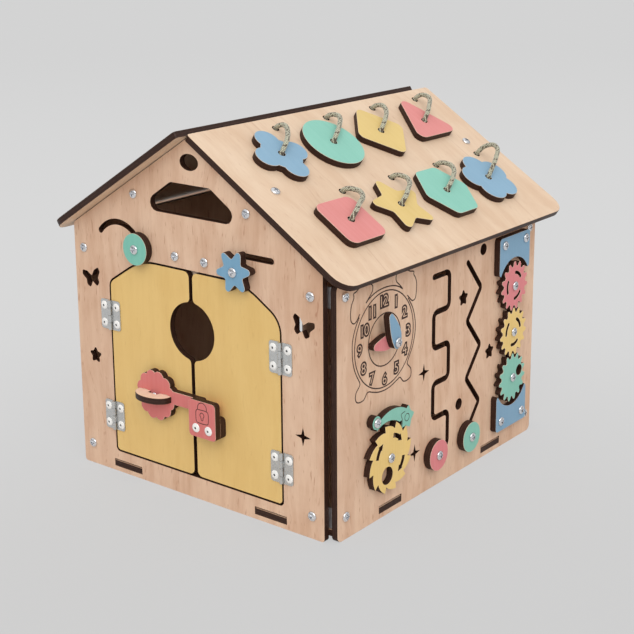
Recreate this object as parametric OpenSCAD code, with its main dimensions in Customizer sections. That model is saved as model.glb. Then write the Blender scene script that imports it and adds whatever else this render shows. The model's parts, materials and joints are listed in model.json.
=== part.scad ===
// A wooden busy board in the shape of a house, for a toddler: two gables, two side
// walls and a pitched roof, with doors, a latch, slot runs, a clock, gears and a ratchet.
// X runs right, Y runs back and Z runs up. The origin is the middle of the outer box on the ground.

/* [Boards] */
// Thickness of the walls, floor and roof boards
board_t = 6.5; // [5.5:0.1:7.5]
// Thickness of the painted pieces
piece_t = 7; // [5.5:0.1:7.6]
// Radius of the small corners of the boards
board_r = 3; // [1:0.5:5]

/* [House] */
// Width of the front and back gables
gable_w = 320; // [312:1:326]
// Height of the gables at their shoulders
shoulder_h = 257.8; // [256:0.2:266]
// Pitch of the roof in degrees
roof_pitch = 32.46; // [31.5:0.02:33.5]
// Length of each side wall, front to back
side_len = 348.8; // [344:0.2:360]
// Height of the right wall
side_h = 246; // [243:0.5:249]
// Height of the left wall
left_side_h = 254; // [248:0.5:255]
// How much nearer the middle the left wall stands than the right wall
left_in = 7; // [6.5:0.1:8]
// Gap between a gable's upright edge and the inner face of the side wall
corner_gap = 4.4; // [3:0.2:7]
// How far the front gable's face stands in front of the side walls
front_step = 5.4; // [2:0.2:6.4]
// Gap between the side walls' back edges and the back gable
back_step = 7.9; // [2:0.2:14]

/* [Roof] */
// Length of the left roof board down its slope
left_roof_len = 205; // [200:0.5:215]
// Length of the right roof board down its slope
right_roof_len = 219.4; // [205:0.2:222]
// How far the left board laps over the ridge
ridge_lap = 4.8; // [3:0.1:7]
// How far the left board stands out in front of the front gable
left_roof_front = 16.9; // [10:0.1:22]
// How far the left board stops short of the back gable's outer face
left_roof_back = 3.8; // [0:0.1:6]
// How far the right board stands out in front of the front gable
right_roof_front = 4.8; // [2:0.1:16]
// How far the right board stands out behind the back gable
right_roof_back = 19.2; // [5:0.1:30]
// Radius of the corners at the eaves
eave_r = 18; // [8:1:25]

/* [Roof tiles] */
// Distance of the first column of tiles behind the side walls' front edges
tile_front_in = 66.1; // [62:0.1:74]
// Distance of the last column of tiles in front of the side walls' back edges
tile_back_in = 43; // [40:0.1:52]
// Distance of the upper and the lower row of tiles from the ridge, down the slope
tile_s = [57, 154.3];
// Cord hole in the roof: how far behind the tile's centre
cord_dy = 35; // [33:0.5:38]
// Cord hole in the roof: how far up the slope from the tile's centre
cord_ds = 39.5; // [39:0.5:42]
// Diameter of the cords
cord_d = 5; // [4:0.2:5.4]
// Diameter of the cord holes
cord_hole_d = 7.6; // [7:0.1:8.6]
// Radius of the round tile
round_tile_r = 34; // [30:0.5:35]
// Side of the square tile
square_tile_w = 55; // [50:0.5:58]
// Reach of the star tile's tips before they are rounded
star_tile_r = 41.2; // [38:0.1:43]

/* [Doors] */
// Width of the doorway
door_w = 224; // [216:1:226]
// Height of the doorway's sill
door_sill = 22.4; // [20:0.2:24]
// Height of the doorway's top edge
door_top = 233.2; // [231:0.2:234]
// Height of the doorway's sloping corners
door_slope_h = 28.8; // [25:0.1:32]
// Width of the doorway's top edge
door_top_w = 133; // [126:1:140]
// Gap round the doors
door_gap = 2; // [1.2:0.1:2.4]
// Gap between the two doors
mid_gap = 4.4; // [3:0.2:6]
// Height of the centre of the round window in the doors
door_hole_z = 172.3; // [168:0.5:174]
// Radius of the round window in the doors
door_hole_r = 29; // [24:0.5:32]
// Radius of the doorway's bent upper corners
door_bend_r = 70; // [60:1:76]

/* [Hinges] */
// Heights of the hinges' centres
hinge_z = [61.6, 168.8];
// Height of a hinge
hinge_h = 31; // [26:1:34]
// Width of one hinge leaf, from the pin to its edge
leaf_w = 13.5; // [12.6:0.1:14]
// Thickness of a hinge leaf
leaf_t = 1; // [0.8:0.1:1.2]
// Distance of the hinge pins in front of the wall
pin_out = 2; // [1.9:0.1:2.6]
// Radius of the hinge pins
pin_r = 1; // [0.8:0.1:1.1]

/* [Latch] */
// Place of the latch pivot on the left door
latch_pos = [-45, 100.1];
// Radius of the latch's scalloped head
latch_head_r = 25.8; // [23:0.2:27]
// Width of the latch bar
latch_bar_w = 13.4; // [11:0.2:14]
// How far the bar lies above the pivot's height
latch_bar_up = 2.3; // [1:0.1:2.6]
// How far the bar reaches past the middle of the doors
latch_reach = 17; // [14:0.5:22]
// Half width of the latch handle
handle_half = 21.7; // [18:0.1:22]
// How far the handle stands out from the latch head
handle_out = 15.7; // [12:0.1:18]
// Lower left corner of the lock plate
lock_pos = [6.6, 73.8];
// Width and height of the lock plate
lock_size = [34.4, 37.2];
// Clear height under the lock plate
lock_under = 7.8; // [7.7:0.05:8.4]

/* [Bolts] */
// Diameter of the bolts' shanks
bolt_d = 5; // [4.5:0.1:5.4]
// Diameter of the bolts' pan heads
head_d = 9.6; // [9:0.1:11]
// Height of the bolts' pan heads
head_h = 2.9; // [2.4:0.1:3.2]
// Width of the nuts across their flats
nut_w = 8; // [7.6:0.1:8.8]
// Height of the nuts
nut_h = 4; // [3.5:0.1:5]
// Width of the slots
slot_w = 6; // [5.8:0.1:6.4]
// Radius of the round slide knobs
knob_r = 16; // [14:0.2:16.2]
// Thickness of the slide knobs
knob_t = 8.1; // [7:0.1:8.2]
// Thickness of the spacer under a slide knob
spacer_t = 0.4; // [0.3:0.1:1]
// Thickness of the steel braces
brace_t = 2; // [1.5:0.1:2.5]
// Width of the steel braces
brace_w = 20; // [16:0.5:21]
// Length of each leg of the braces
brace_len = 30; // [27:0.5:34]

/* [Front toys] */
// Centre of the arc slot
arc_pos = [-95.9, 234.2];
// Radius of the arc slot
arc_r = 32.5; // [31.5:0.1:33.5]
// Angles of the knob's end and the far end of the arc slot
arc_ends = [19.6, 140];
// Lower end of the flower's slot
flower_pos = [62, 243.4];
// Height of the level stretch of the flower's slot above its lower end
flower_rise = 14.8; // [13:0.1:16]
// Length of the level stretch of the flower's slot
flower_run = 39.4; // [30:0.2:42]

/* [Side toys] */
// Distance of the clock and the ratchet wheel from the wall's front edge
clock_in = 72.9; // [70:0.1:80]
// Height of the clock's centre
clock_z = 178; // [172:0.5:184]
// Height of the ratchet wheel's centre
ratchet_z = 61.8; // [56:0.2:66]
// Reach of the ratchet's teeth
ratchet_r = 34.9; // [33:0.1:35]
// Depth of the ratchet's teeth
ratchet_tooth = 6.3; // [5:0.1:6.6]
// Pivot of the pawl, measured from the ratchet wheel's centre
pawl_at = [-22.5, 42.2];
// Centre of the star on the pawl, measured from the ratchet wheel's centre
pawl_star_at = [26.5, 32.6];
// Distance of the gears from the wall's back edge
gear_in = 52.9; // [50:0.1:60]
// Height of the middle gear's centre
gear_z = 128.4; // [124:0.2:132]
// Distance between the gears' centres
gear_step = 50.8; // [50.2:0.1:51.6]
// Reach of the gears' teeth
gear_r = 26.6; // [26:0.1:26.9]
// Radius at the roots of the gears' teeth
gear_root = 21.7; // [21:0.1:22]
// Teeth on each gear
gear_teeth = 15; // [15:2:15]
// Top left bend of the square wave slot
wave_pos = [-19.7, 219.2];
// Width and pitch of the square wave
wave_size = [27.1, 36.5];
// Top bend of the zigzag slot
zigzag_pos = [41, 220.3];
// Width and pitch of the zigzag
zigzag_size = [25.5, 30.7];

/* [Hidden] */
$fn = 48;
arc_steps = 5;
bolt_gap = 0.05;        // running clearance round a shank
hole_gap = 0.15;        // clearance of a fixed bolt's hole
seat_gap = 0.1;         // clearance between boards that meet
lift = 0.5;             // washer under a turning piece
top_gap = 0.2;          // clearance between a turning piece and what is over it

gable_x = gable_w / 2;
side_inner_x = gable_x + corner_gap;
side_x = side_inner_x + board_t;
front_inner_y = -side_len / 2 - front_step + board_t;
front_y = front_inner_y - board_t;
back_inner_y = side_len / 2 + back_step;
back_y = back_inner_y + board_t;
apex_z = shoulder_h + gable_x * tan(roof_pitch);
roof_gap = 0.7;         // the roof boards rest on their braces, just clear of the gables
roof_z = apex_z + roof_gap / cos(roof_pitch);
door_x = door_w / 2;
door_shoulder = door_top - door_slope_h;
door_slope = atan2(door_slope_h, door_x - door_top_w / 2);
bolt_r = bolt_d / 2;
tile_y = [for (k = [0:3])
    -side_len / 2 + tile_front_in + k * (side_len - tile_front_in - tile_back_in) / 3];
clock_pos = [clock_in - side_len / 2, clock_z];
ratchet_pos = [clock_in - side_len / 2, ratchet_z];
pawl_pos = ratchet_pos + pawl_at;
pawl_star_pos = ratchet_pos + pawl_star_at;
gear_pos = [side_len / 2 - gear_in, gear_z];

// Braces and their screws
brace_z = [22.8, 233.4];
gable_screw_in = 18.2;
side_screw_front = 11;
side_screw_back = 21;
roof_brace_s = 94.4;
roof_screw_front = 21.6;
roof_screw_back = 11;
roof_brace_drop = 13.5;

// Floor and its tabs
floor_z = 4.9;
mortise_h = 8;
gable_tab = [95.5, 39.5];
side_tab = [91.3, 37.2];
tab_gap = 0.4;

// Stop behind the doors
stop_x = 42;
stop_h = 26;
stop_overlap = 6;
stop_screw = [19, door_top + 10.8];

// Hinges
knuckle_r = pin_out - 0.1;
knuckle_cut = knuckle_r + 0.25;
knuckle_h = hinge_h / 4;
knuckle_gap = 0.2;
leaf_r = 3;
rivet_at = [8.5, 8.9];
rivet_r = 2;
rivet_head_r = 4.4;
lock_rivet_head_r = 4.7;
rivet_head_h = 1.5;
lock_rivet_at = [8, 9.1];
hinge_x = door_x - door_gap / 2;

// Layers of the toys, measured out from the wall
layer_top = lift + piece_t;
hour_h = 0.8;
minute_h = hour_h + piece_t + top_gap;
wheel_head_h = layer_top + top_gap;
knob_top = spacer_t + knob_t;
inner_washer_t = 1.2;
inner_washer_r = 7;
outer_washer_r = 5;

// Overall box, used to put the origin in the middle of it
clock_top = minute_h + piece_t + top_gap + head_h;
x_right = max(right_roof_len * cos(roof_pitch) + board_t * sin(roof_pitch), side_x + clock_top);
x_left = -left_roof_len * cos(roof_pitch) - board_t * sin(roof_pitch);
y_front = min(front_y - layer_top - handle_out, front_y - left_roof_front);
y_back = back_y + right_roof_back;

// Cord routes from the hole in the roof to the hole in the tile: [back, down the slope, out],
// measured from the tile's centre and the roof's upper face. The two ends are straight.
cord_mid = [
    [[34, -36, 7], [33, -31, 11], [27, -23, 14], [17, -13, 15], [8, -6, 14], [2, -2, 11]],
    [[35, -36, 7], [34, -29, 12], [28, -21, 15], [18, -13, 15], [8, -6, 14], [2, -2, 11]],
    [[35, -36, 7], [33, -29, 12], [27, -20, 14], [17, -12, 15], [8, -6, 14], [2, -2, 11]],
    [[36, -37, 8], [35, -30, 13], [29, -21, 16], [18, -13, 16], [8, -6, 15], [2, -2, 11]],
    [[36, -35, 7], [37, -25, 12], [29, -15, 15], [17, -9, 15], [8, -4, 14], [2, -1, 11]],
    [[36, -35, 7], [35, -25, 12], [26, -15, 15], [16, -9, 15], [8, -4, 14], [2, -1, 11]],
    [[36, -35, 7], [35, -26, 12], [27, -16, 15], [17, -9, 15], [8, -4, 14], [2, -1, 11]],
    [[37, -37, 12], [38, -30, 20], [31, -20, 23], [19, -12, 21], [9, -6, 17], [2, -2, 12]]];
cord_start = 2;
cord_end = 1;
cord_sides = 8;

// ---- outlines ----

function unit(v) = v / norm(v);
function polar(r, a) = r * [cos(a), sin(a)];

// Points of an arc of radius r that rounds the corner b between a and c
function corner_arc(a, b, c, r, n) =
    let (u = unit(a - b), v = unit(c - b), half = acos(u * v) / 2,
         mid = b + unit(u + v) * r / sin(half),
         p = b + u * r / tan(half) - mid,
         q = b + v * r / tan(half) - mid,
         from = atan2(p.y, p.x),
         turn = (atan2(q.y, q.x) - from + 540) % 360 - 180)
    [for (i = [0:n]) mid + polar(r, from + turn * i / n)];

// An outline with its corners rounded, by one radius or by a list of them
function rounded(points, radii, n = arc_steps) =
    let (m = len(points))
    [for (i = [0:m - 1])
        let (r = is_list(radii) ? radii[i] : radii)
        each r > 0 ? corner_arc(points[(i + m - 1) % m], points[i], points[(i + 1) % m], r, n)
                   : [points[i]]];

// A centreline with rounded bends
function bent(points, r, n = arc_steps) =
    concat([points[0]],
           [for (i = [1:len(points) - 2]) each corner_arc(points[i - 1], points[i], points[i + 1], r, n)],
           [points[len(points) - 1]]);

// The outline of a slot w wide along a centreline, with round ends
function slot_outline(path, w, n = 8) =
    let (m = len(path) - 1,
         dir = [for (i = [0:m]) unit(path[min(i + 1, m)] - path[max(i - 1, 0)])],
         side = [for (d = dir) [-d.y, d.x] * w / 2],
         last = atan2(dir[m].y, dir[m].x),
         first = atan2(dir[0].y, dir[0].x))
    concat([for (i = [0:m]) path[i] + side[i]],
           [for (k = [1:n - 1]) path[m] + polar(w / 2, last + 90 - 180 * k / n)],
           [for (i = [m:-1:0]) path[i] - side[i]],
           [for (k = [1:n - 1]) path[0] + polar(w / 2, first - 90 - 180 * k / n)]);

function arc_path(centre, r, from, to, n) =
    [for (i = [0:n]) centre + polar(r, from + (to - from) * i / n)];

function star(n, outer, inner, turn) =
    [for (i = [0:2 * n - 1]) polar(i % 2 == 0 ? outer : inner, turn + 180 * i / n)];

function rect(w, h) = [[-w / 2, -h / 2], [w / 2, -h / 2], [w / 2, h / 2], [-w / 2, h / 2]];
function box_points(x0, y0, x1, y1) = [[x0, y0], [x1, y0], [x1, y1], [x0, y1]];

// A ring of n round lobes that reach out to r
module petals(n, lobe_at, lobe_r, core_r, turn) {
    circle(core_r);
    for (i = [0:n - 1]) rotate(turn + 360 * i / n) translate([lobe_at, 0]) circle(lobe_r);
}

// ---- places ----

module at_origin() translate([-(x_left + x_right) / 2, -(y_front + y_back) / 2, 0]) children();
module both_sides() {
    children();
    mirror([1, 0, 0]) children();
}
// The left wall and what is screwed to it stand nearer the middle
module on_left() translate([left_in, 0, 0]) mirror([1, 0, 0]) children();
// A flat drawing cut to a board or a piece that starts h out from a wall
module front_slab(h, t) translate([0, front_y - h, 0]) rotate([90, 0, 0]) linear_extrude(t) children();
module right_slab(h, t) translate([side_x + h, 0, 0]) rotate([90, 0, 90]) linear_extrude(t) children();
// The right roof board's frame: X runs back, Y up the slope and Z out of the board's underside
module roof_frame() translate([0, 0, roof_z]) rotate([0, roof_pitch, 0]) rotate([0, 0, 90]) children();
module roof_slab(h, t) roof_frame() translate([0, 0, board_t + h]) linear_extrude(t) children();
// A place on a wall's outer face, with Z pointing out of it
module front_at(p) translate([p.x, front_y, p.y]) rotate([90, 0, 0]) children();
module back_at(p) translate([p.x, back_y, p.y]) rotate([-90, 0, 0]) children();
module right_at(p) translate([side_x, p.x, p.y]) rotate([90, 0, 90]) children();
module roof_at(y, s) roof_frame() translate([y, -s, board_t]) children();

// ---- hardware ----

// Pan head with a cross recess, its underside at z = 0
head_edge = head_h * 0.35;
recess_share = [0.6, 0.15];
recess_floor = head_h * 0.2;
module pan_head(d) difference() {
    rotate_extrude() polygon(concat([[0, 0], [d / 2, 0], [d / 2, head_edge]],
        [for (a = [15:15:75]) [d / 2 * cos(a), head_edge + (head_h - head_edge) * sin(a)]], [[0, head_h]]));
    for (a = [0, 90]) rotate(a) translate([-d / 2 * recess_share.x, -d / 2 * recess_share.y, recess_floor])
        cube([d * recess_share.x, d * recess_share.y, head_h]);
}
// Bolt whose head sits h out from the wall and whose shank reaches depth behind the wall's face
module bolt(h, depth, d = head_d) {
    translate([0, 0, h]) pan_head(d);
    translate([0, 0, -depth]) cylinder(r = bolt_r, h = h + depth);
}
// Flat ring round a shank, its lower face at z
module ring_at(z, r, t) translate([0, 0, z]) difference() {
    cylinder(r = r, h = t);
    translate([0, 0, -t]) cylinder(r = bolt_r + bolt_gap, h = 3 * t);
}
// Hexagon nut whose outer face is at -depth
module nut(depth) translate([0, 0, -depth - nut_h]) difference() {
    cylinder(d = nut_w / cos(30), h = nut_h, $fn = 6);
    translate([0, 0, -1]) cylinder(r = bolt_r + bolt_gap, h = nut_h + 2);
}
// Blind rivet through a board: domed head with a dimple, shank and a turned-over end
module rivet(h, head_r) {
    tail_t = 0.8;
    difference() {
        union() {
            translate([0, 0, h]) rotate_extrude() polygon(concat([[0, 0], [head_r, 0]],
                [for (a = [15:15:75]) [head_r * cos(a), rivet_head_h * sin(a)]], [[0, rivet_head_h]]));
            translate([0, 0, -board_t - tail_t]) cylinder(r = rivet_r, h = h + board_t + tail_t);
            translate([0, 0, -board_t - tail_t]) cylinder(r = rivet_head_r * 0.85, h = tail_t);
        }
        translate([0, 0, h + rivet_head_h - 0.9]) cylinder(r = rivet_r * 0.62, h = 2);
    }
}
// The second hole in each leg of a brace lies this far towards its other end
brace_hole_step = [10, 9];
function brace_holes(at, step) = [at, at > brace_len / 2 ? at - step : at + step];
// Steel angle brace in the corner at the origin: one leg along X under z = 0, one down Z
module brace(leg_hole, drop_hole) difference() {
    translate([0, -brace_w / 2, -brace_len]) difference() {
        cube([brace_len, brace_w, brace_len]);
        translate([brace_t, -1, -1]) cube([brace_len, brace_w + 2, brace_len + 1 - brace_t]);
    }
    for (x = brace_holes(leg_hole, brace_hole_step[0]))
        translate([x, 0, -brace_t - 1]) cylinder(r = bolt_r + hole_gap, h = brace_t + 2);
    for (z = brace_holes(drop_hole, brace_hole_step[1]))
        translate([-1, 0, -z]) rotate([0, 90, 0]) cylinder(r = bolt_r + hole_gap, h = brace_t + 2);
}

// The screws that hold each gable to the side walls and the roof
gable_screws = concat(
    [for (z = brace_z, x = [-1, 1]) [x * (side_inner_x - gable_screw_in), z]],
    [for (x = [-1, 1])
        [x * (roof_brace_s * cos(roof_pitch) - roof_brace_drop * sin(roof_pitch)),
         roof_z - roof_brace_s * sin(roof_pitch) - roof_brace_drop * cos(roof_pitch)]]);
side_screws = [for (z = brace_z, y = [front_inner_y + side_screw_front, back_inner_y - side_screw_back]) [y, z]];
roof_screw_y = [front_inner_y + roof_screw_front, back_inner_y - roof_screw_back];
stop_screws = [for (x = [-1, 1]) [x * stop_screw.x, stop_screw.y]];

module each_wall_screw() {
    for (p = gable_screws) {
        front_at(p) children();
        back_at([p.x, p.y]) children();
    }
    for (p = side_screws) {
        right_at(p) children();
        on_left() right_at(p) children();
    }
}
module each_stop_screw() for (p = stop_screws) front_at(p) children();
module each_roof_screw() both_sides() for (y = roof_screw_y) roof_at(y, roof_brace_s) children();

module holes(points, r = bolt_r + hole_gap) for (p = points) translate(p) circle(r);

// ---- walls ----

gable_points = rounded(
    [[-gable_x, 0], [gable_x, 0], [gable_x, shoulder_h], [0, apex_z], [-gable_x, shoulder_h]],
    [board_r, board_r, board_r, board_r, board_r]);
// The gable's openings lie this far right of its middle
gable_mid = 2.5;
// Drop of the handle window's top and bottom edges below the apex, and half its widths there
window_drop = [43.6, 74.6];
window_half = [25.2, 71.7];
handle_window = rounded([for (p = [[-1, 0], [-1, 1], [1, 1], [1, 0]])
    [gable_mid + p[0] * window_half[p[1]], apex_z - window_drop[p[1]]]], [8, 8.3, 8.3, 8]);
vent_pos = [gable_mid, apex_z - 22.1];
vent_size = [23.5, 16];
vent = [for (a = [0:12:348]) vent_pos + [vent_size.x / 2 * cos(a), vent_size.y / 2 * sin(a)]];

module gable_cuts() {
    polygon(handle_window);
    polygon(vent);
    for (x = [-1, 1]) translate([x * gable_tab.x - gable_tab.y / 2, floor_z]) square([gable_tab.y, mortise_h]);
    holes(gable_screws);
}

// The doorway, or the outline of the closed pair of doors when drawn in by a gap
sill_r = 5;
// Rounding of the doorway's right and left shoulders
shoulder_r = [26, 11];
shoulder_in = 1 / cos(door_slope) - tan(door_slope);
top_in = (1 / cos(door_slope) - 1) / tan(door_slope);
function doorway(gap) = rounded([
    [-door_x + gap, door_sill + gap], [door_x - gap, door_sill + gap],
    [door_x - gap, door_shoulder - gap * shoulder_in], [door_top_w / 2 - gap * top_in, door_top - gap],
    [-door_top_w / 2 + gap * top_in, door_top - gap], [-door_x + gap, door_shoulder - gap * shoulder_in]],
    [sill_r - gap / 2, sill_r - gap / 2, shoulder_r[0] - gap, door_bend_r, door_bend_r, shoulder_r[1] - gap], 8);

// The arc slot lies between two circles, within a wedge from its centre, and has round ends
// The slot's ends are this much rounder than its sides, so the curves cross and don't only touch
slot_end_more = 0.08;
module arc_slot() {
    reach = 2 * arc_r;
    intersection() {
        translate(arc_pos) difference() {
            circle(arc_r + slot_w / 2);
            circle(arc_r - slot_w / 2);
        }
        polygon([arc_pos, for (t = [0, 0.5, 1]) arc_pos + polar(reach, arc_ends[0] * (1 - t) + arc_ends[1] * t)]);
    }
    for (a = arc_ends) translate(arc_pos + polar(arc_r, a)) circle(slot_w / 2 + slot_end_more);
}
flower_bend_r = 4;
flower_slot = bent([flower_pos, flower_pos + [0, flower_rise], flower_pos + [flower_run, flower_rise]],
    flower_bend_r);

// Right half of a butterfly, from the low wing's tip round to the high wing's inner side
wing = [[5, -8.8], [9.2, -5], [8.6, 0], [13, 5.8], [11.6, 10.4], [5, 8.4]];
wing_r = [2, 2.4, 0.5, 2.2, 1.4, 3];
body_r = 0.3;
butterfly = rounded(
    concat([[0, -2.8]], wing, [[0, 3]], [for (i = [len(wing) - 1:-1:0]) [-wing[i].x, wing[i].y]]),
    concat([body_r], wing_r, [body_r], [for (i = [len(wing) - 1:-1:0]) wing_r[i]]), 3);
butterfly_pos = [136.7, 202.2];
butterfly_tilt = 14;
small_star_r = 9.8;
small_star_tip_r = 1.5;
cross_star_r = 9.2;
small_star = rounded(star(5, small_star_r, small_star_r * 0.54, 90), small_star_tip_r, 3);
cross_star = star(4, cross_star_r, cross_star_r * 0.29, 90);
front_star_pos = [-136.8, 120.8];
front_cross_pos = [135.8, 98.2];

module front_wall() color([0.84, 0.71, 0.59]) front_slab(-board_t, board_t) difference() {
    polygon(gable_points);
    gable_cuts();
    polygon(doorway(0));
    holes(stop_screws);
    arc_slot();
    polygon(slot_outline(flower_slot, slot_w));
    for (x = [-1, 1]) translate([x * butterfly_pos.x, butterfly_pos.y]) rotate(x * -butterfly_tilt)
        polygon(butterfly);
    translate(front_star_pos) polygon(small_star);
    translate(front_cross_pos) polygon(cross_star);
    for (x = [-1, 1], z = hinge_z, dz = [-1, 1])
        translate([x * (hinge_x + rivet_at.x), z + dz * rivet_at.y]) circle(rivet_r + bolt_gap);
}
module back_wall() color([0.84, 0.71, 0.59])
    translate([0, back_y, 0]) rotate([90, 0, 0]) linear_extrude(board_t) difference() {
        polygon(gable_points);
        gable_cuts();
    }

wall_corner_r = 6;
module side_outline(from, h) polygon(rounded(box_points(from, 0, side_len / 2, h), wall_corner_r));
module side_cuts() {
    holes(side_screws);
    for (y = [-1, 1]) translate([y * side_tab.x - side_tab.y / 2, floor_z]) square([side_tab.y, mortise_h]);
}

wave_rows = 5;
wave_path = [for (k = [0:wave_rows], side = k % 2 == 0 ? [0, 1] : [1, 0])
    wave_pos + [side * wave_size.x, -k * wave_size.y]];
wave_end = wave_pos + [0, -wave_rows * wave_size.y];
zigzag_legs = 6;
zigzag_path = [for (k = [0:zigzag_legs]) zigzag_pos + [k % 2 * zigzag_size.x, -k * zigzag_size.y]];
zigzag_end = zigzag_pos + [0, -zigzag_legs * zigzag_size.y];
zigzag_slot_w = slot_w - 0.2;
wave_bend_r = 6;
zigzag_bend_r = 4;
side_stars = [[33.4, 185.4], [85.6, 115]];
side_crosses = [[-36, 126.3], [-50.7, 47.4]];
peep_holes = [[69.9, 228.3], [28, 74.2]];
peep_r = 6;
gear_centres = [for (k = [1:-1:-1]) gear_pos + [0, k * gear_step]];
plate_screw_x = 21;
plate_screw_z = [98.4, -94.4];
plate_screw_at = [for (x = [-1, 1], z = plate_screw_z) gear_pos + [x * plate_screw_x, z]];

module right_wall() color([0.84, 0.71, 0.59]) right_slab(-board_t, board_t) difference() {
    side_outline(-side_len / 2, side_h);
    side_cuts();
    polygon(slot_outline(bent(wave_path, wave_bend_r), slot_w));
    polygon(slot_outline(bent(zigzag_path, zigzag_bend_r), zigzag_slot_w));
    for (p = side_stars) translate(p) polygon(small_star);
    for (p = side_crosses) translate(p) polygon(cross_star);
    holes(peep_holes, peep_r);
    holes(concat([clock_pos, ratchet_pos, pawl_pos], gear_centres, plate_screw_at));
}
// The left wall stands behind the front gable, not beside it
module left_wall() color([0.84, 0.71, 0.59]) on_left() right_slab(-board_t, board_t) difference() {
    side_outline(front_inner_y + seat_gap, left_side_h);
    side_cuts();
}

module floor_panel() color([0.84, 0.71, 0.59]) translate([0, 0, floor_z]) linear_extrude(board_t) {
    translate([left_in - side_inner_x + seat_gap, front_inner_y + seat_gap])
        square([2 * (side_inner_x - seat_gap) - left_in, back_inner_y - front_inner_y - 2 * seat_gap]);
    for (x = [-1, 1]) translate([x * gable_tab.x - gable_tab.y / 2 + tab_gap, front_y])
        square([gable_tab.y - 2 * tab_gap, back_y - front_y]);
    for (y = [-1, 1]) translate([left_in - side_x, y * side_tab.x - side_tab.y / 2 + tab_gap])
        square([2 * side_x - left_in, side_tab.y - 2 * tab_gap]);
}

module door_stop() color([0.8, 0.66, 0.52]) front_slab(-2 * board_t, board_t) difference() {
    polygon(rounded(box_points(-stop_x, door_top - door_gap - stop_overlap, stop_x,
        door_top - door_gap - stop_overlap + stop_h), 2));
    holes(stop_screws);
}

// ---- roof ----

roof_corner_r = 3;
right_roof_start = ridge_lap * cos(2 * roof_pitch) + seat_gap;
left_roof_y = [front_y - left_roof_front, back_y - left_roof_back];
right_roof_y = [front_y - right_roof_front, back_y + right_roof_back];
module roof_right() color([0.91, 0.8, 0.68]) roof_slab(-board_t, board_t) difference() {
    polygon(rounded(box_points(right_roof_y[0], -right_roof_len, right_roof_y[1], -right_roof_start),
        [eave_r, eave_r, roof_corner_r, roof_corner_r]));
    for (y = roof_screw_y) translate([y, -roof_brace_s]) circle(bolt_r + hole_gap);
    for (y = tile_y, s = tile_s) translate([y + cord_dy, cord_ds - s]) circle(d = cord_hole_d);
}
module roof_left() color([0.91, 0.8, 0.68]) mirror([1, 0, 0]) roof_slab(-board_t, board_t) difference() {
    polygon(rounded(box_points(left_roof_y[0], -left_roof_len, left_roof_y[1], ridge_lap),
        [eave_r, eave_r, roof_corner_r, roof_corner_r]));
    for (y = roof_screw_y) translate([y, -roof_brace_s]) circle(bolt_r + hole_gap);
}

// ---- fixings ----

module front_brace(screw_in) for (z = brace_z)
    translate([side_inner_x, front_inner_y, z]) rotate([90, 0, 90]) brace(side_screw_front, screw_in);
module back_brace(screw_in) for (z = brace_z)
    translate([side_inner_x, back_inner_y, z]) mirror([0, 1, 0]) rotate([90, 0, 90]) brace(side_screw_back, screw_in);
module front_corner_braces() color("silver") {
    front_brace(gable_screw_in);
    on_left() front_brace(gable_screw_in - left_in);
}
module back_corner_braces() color("silver") {
    back_brace(gable_screw_in);
    on_left() back_brace(gable_screw_in - left_in);
}
module roof_braces() color("silver") both_sides() roof_frame() {
    translate([front_inner_y, -roof_brace_s, 0]) brace(roof_screw_front, roof_brace_drop);
    translate([back_inner_y, -roof_brace_s, 0]) mirror([1, 0, 0]) brace(roof_screw_back, roof_brace_drop);
}
screw_end = nut_h + 1;
module wall_screws() color("silver") {
    each_wall_screw() bolt(0, board_t + brace_t + screw_end);
    each_stop_screw() bolt(0, 2 * board_t + screw_end);
}
module roof_screws() color("silver") each_roof_screw() bolt(0, board_t + brace_t + screw_end);
module inner_nuts() color("silver") {
    each_wall_screw() nut(board_t + brace_t);
    each_roof_screw() nut(board_t + brace_t);
    each_stop_screw() nut(2 * board_t);
}

// ---- doors ----

// One door leaf: half of the closed pair, with its share of the round window
// Side 1 draws the right door, and side -1 the left one turned over
module door_outline(side) {
    corner = 6;
    fillet = 5;
    edge_x = mid_gap / 2;
    reach = sqrt((door_hole_r + fillet) * (door_hole_r + fillet) - (edge_x + fillet) * (edge_x + fillet));
    turn = atan2(reach, edge_x + fillet);
    difference() {
        intersection() {
            scale([side, 1]) polygon(doorway(door_gap));
            polygon(concat(
                [[door_w, door_sill + door_gap], [door_w, door_top - door_gap]],
                corner_arc([door_w, door_top - door_gap], [edge_x, door_top - door_gap], [edge_x, door_hole_z],
                    corner, arc_steps),
                arc_path([edge_x + fillet, door_hole_z + reach], fillet, 180, 180 + turn, arc_steps),
                arc_path([edge_x + fillet, door_hole_z - reach], fillet, 180 - turn, 180, arc_steps),
                corner_arc([edge_x, door_hole_z], [edge_x, door_sill + door_gap], [door_w, door_sill + door_gap],
                    corner, arc_steps)));
        }
        translate([0, door_hole_z]) circle(door_hole_r);
        for (z = hinge_z, dz = [-1, 1])
            translate([hinge_x - rivet_at.x, z + dz * rivet_at.y]) circle(rivet_r + bolt_gap);
    }
}
lock_rivets_at = [for (x = [-1, 1]) [lock_pos.x + lock_size.x / 2 + x * lock_rivet_at.x, lock_pos.y + lock_rivet_at.y]];

module left_door() color([0.85, 0.71, 0.43]) front_slab(-board_t, board_t) difference() {
    mirror([1, 0]) door_outline(-1);
    translate(latch_pos) circle(bolt_r + hole_gap);
}
module right_door() color([0.85, 0.71, 0.43]) front_slab(-board_t, board_t) difference() {
    door_outline(1);
    holes(lock_rivets_at, rivet_r + bolt_gap);
}

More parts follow.
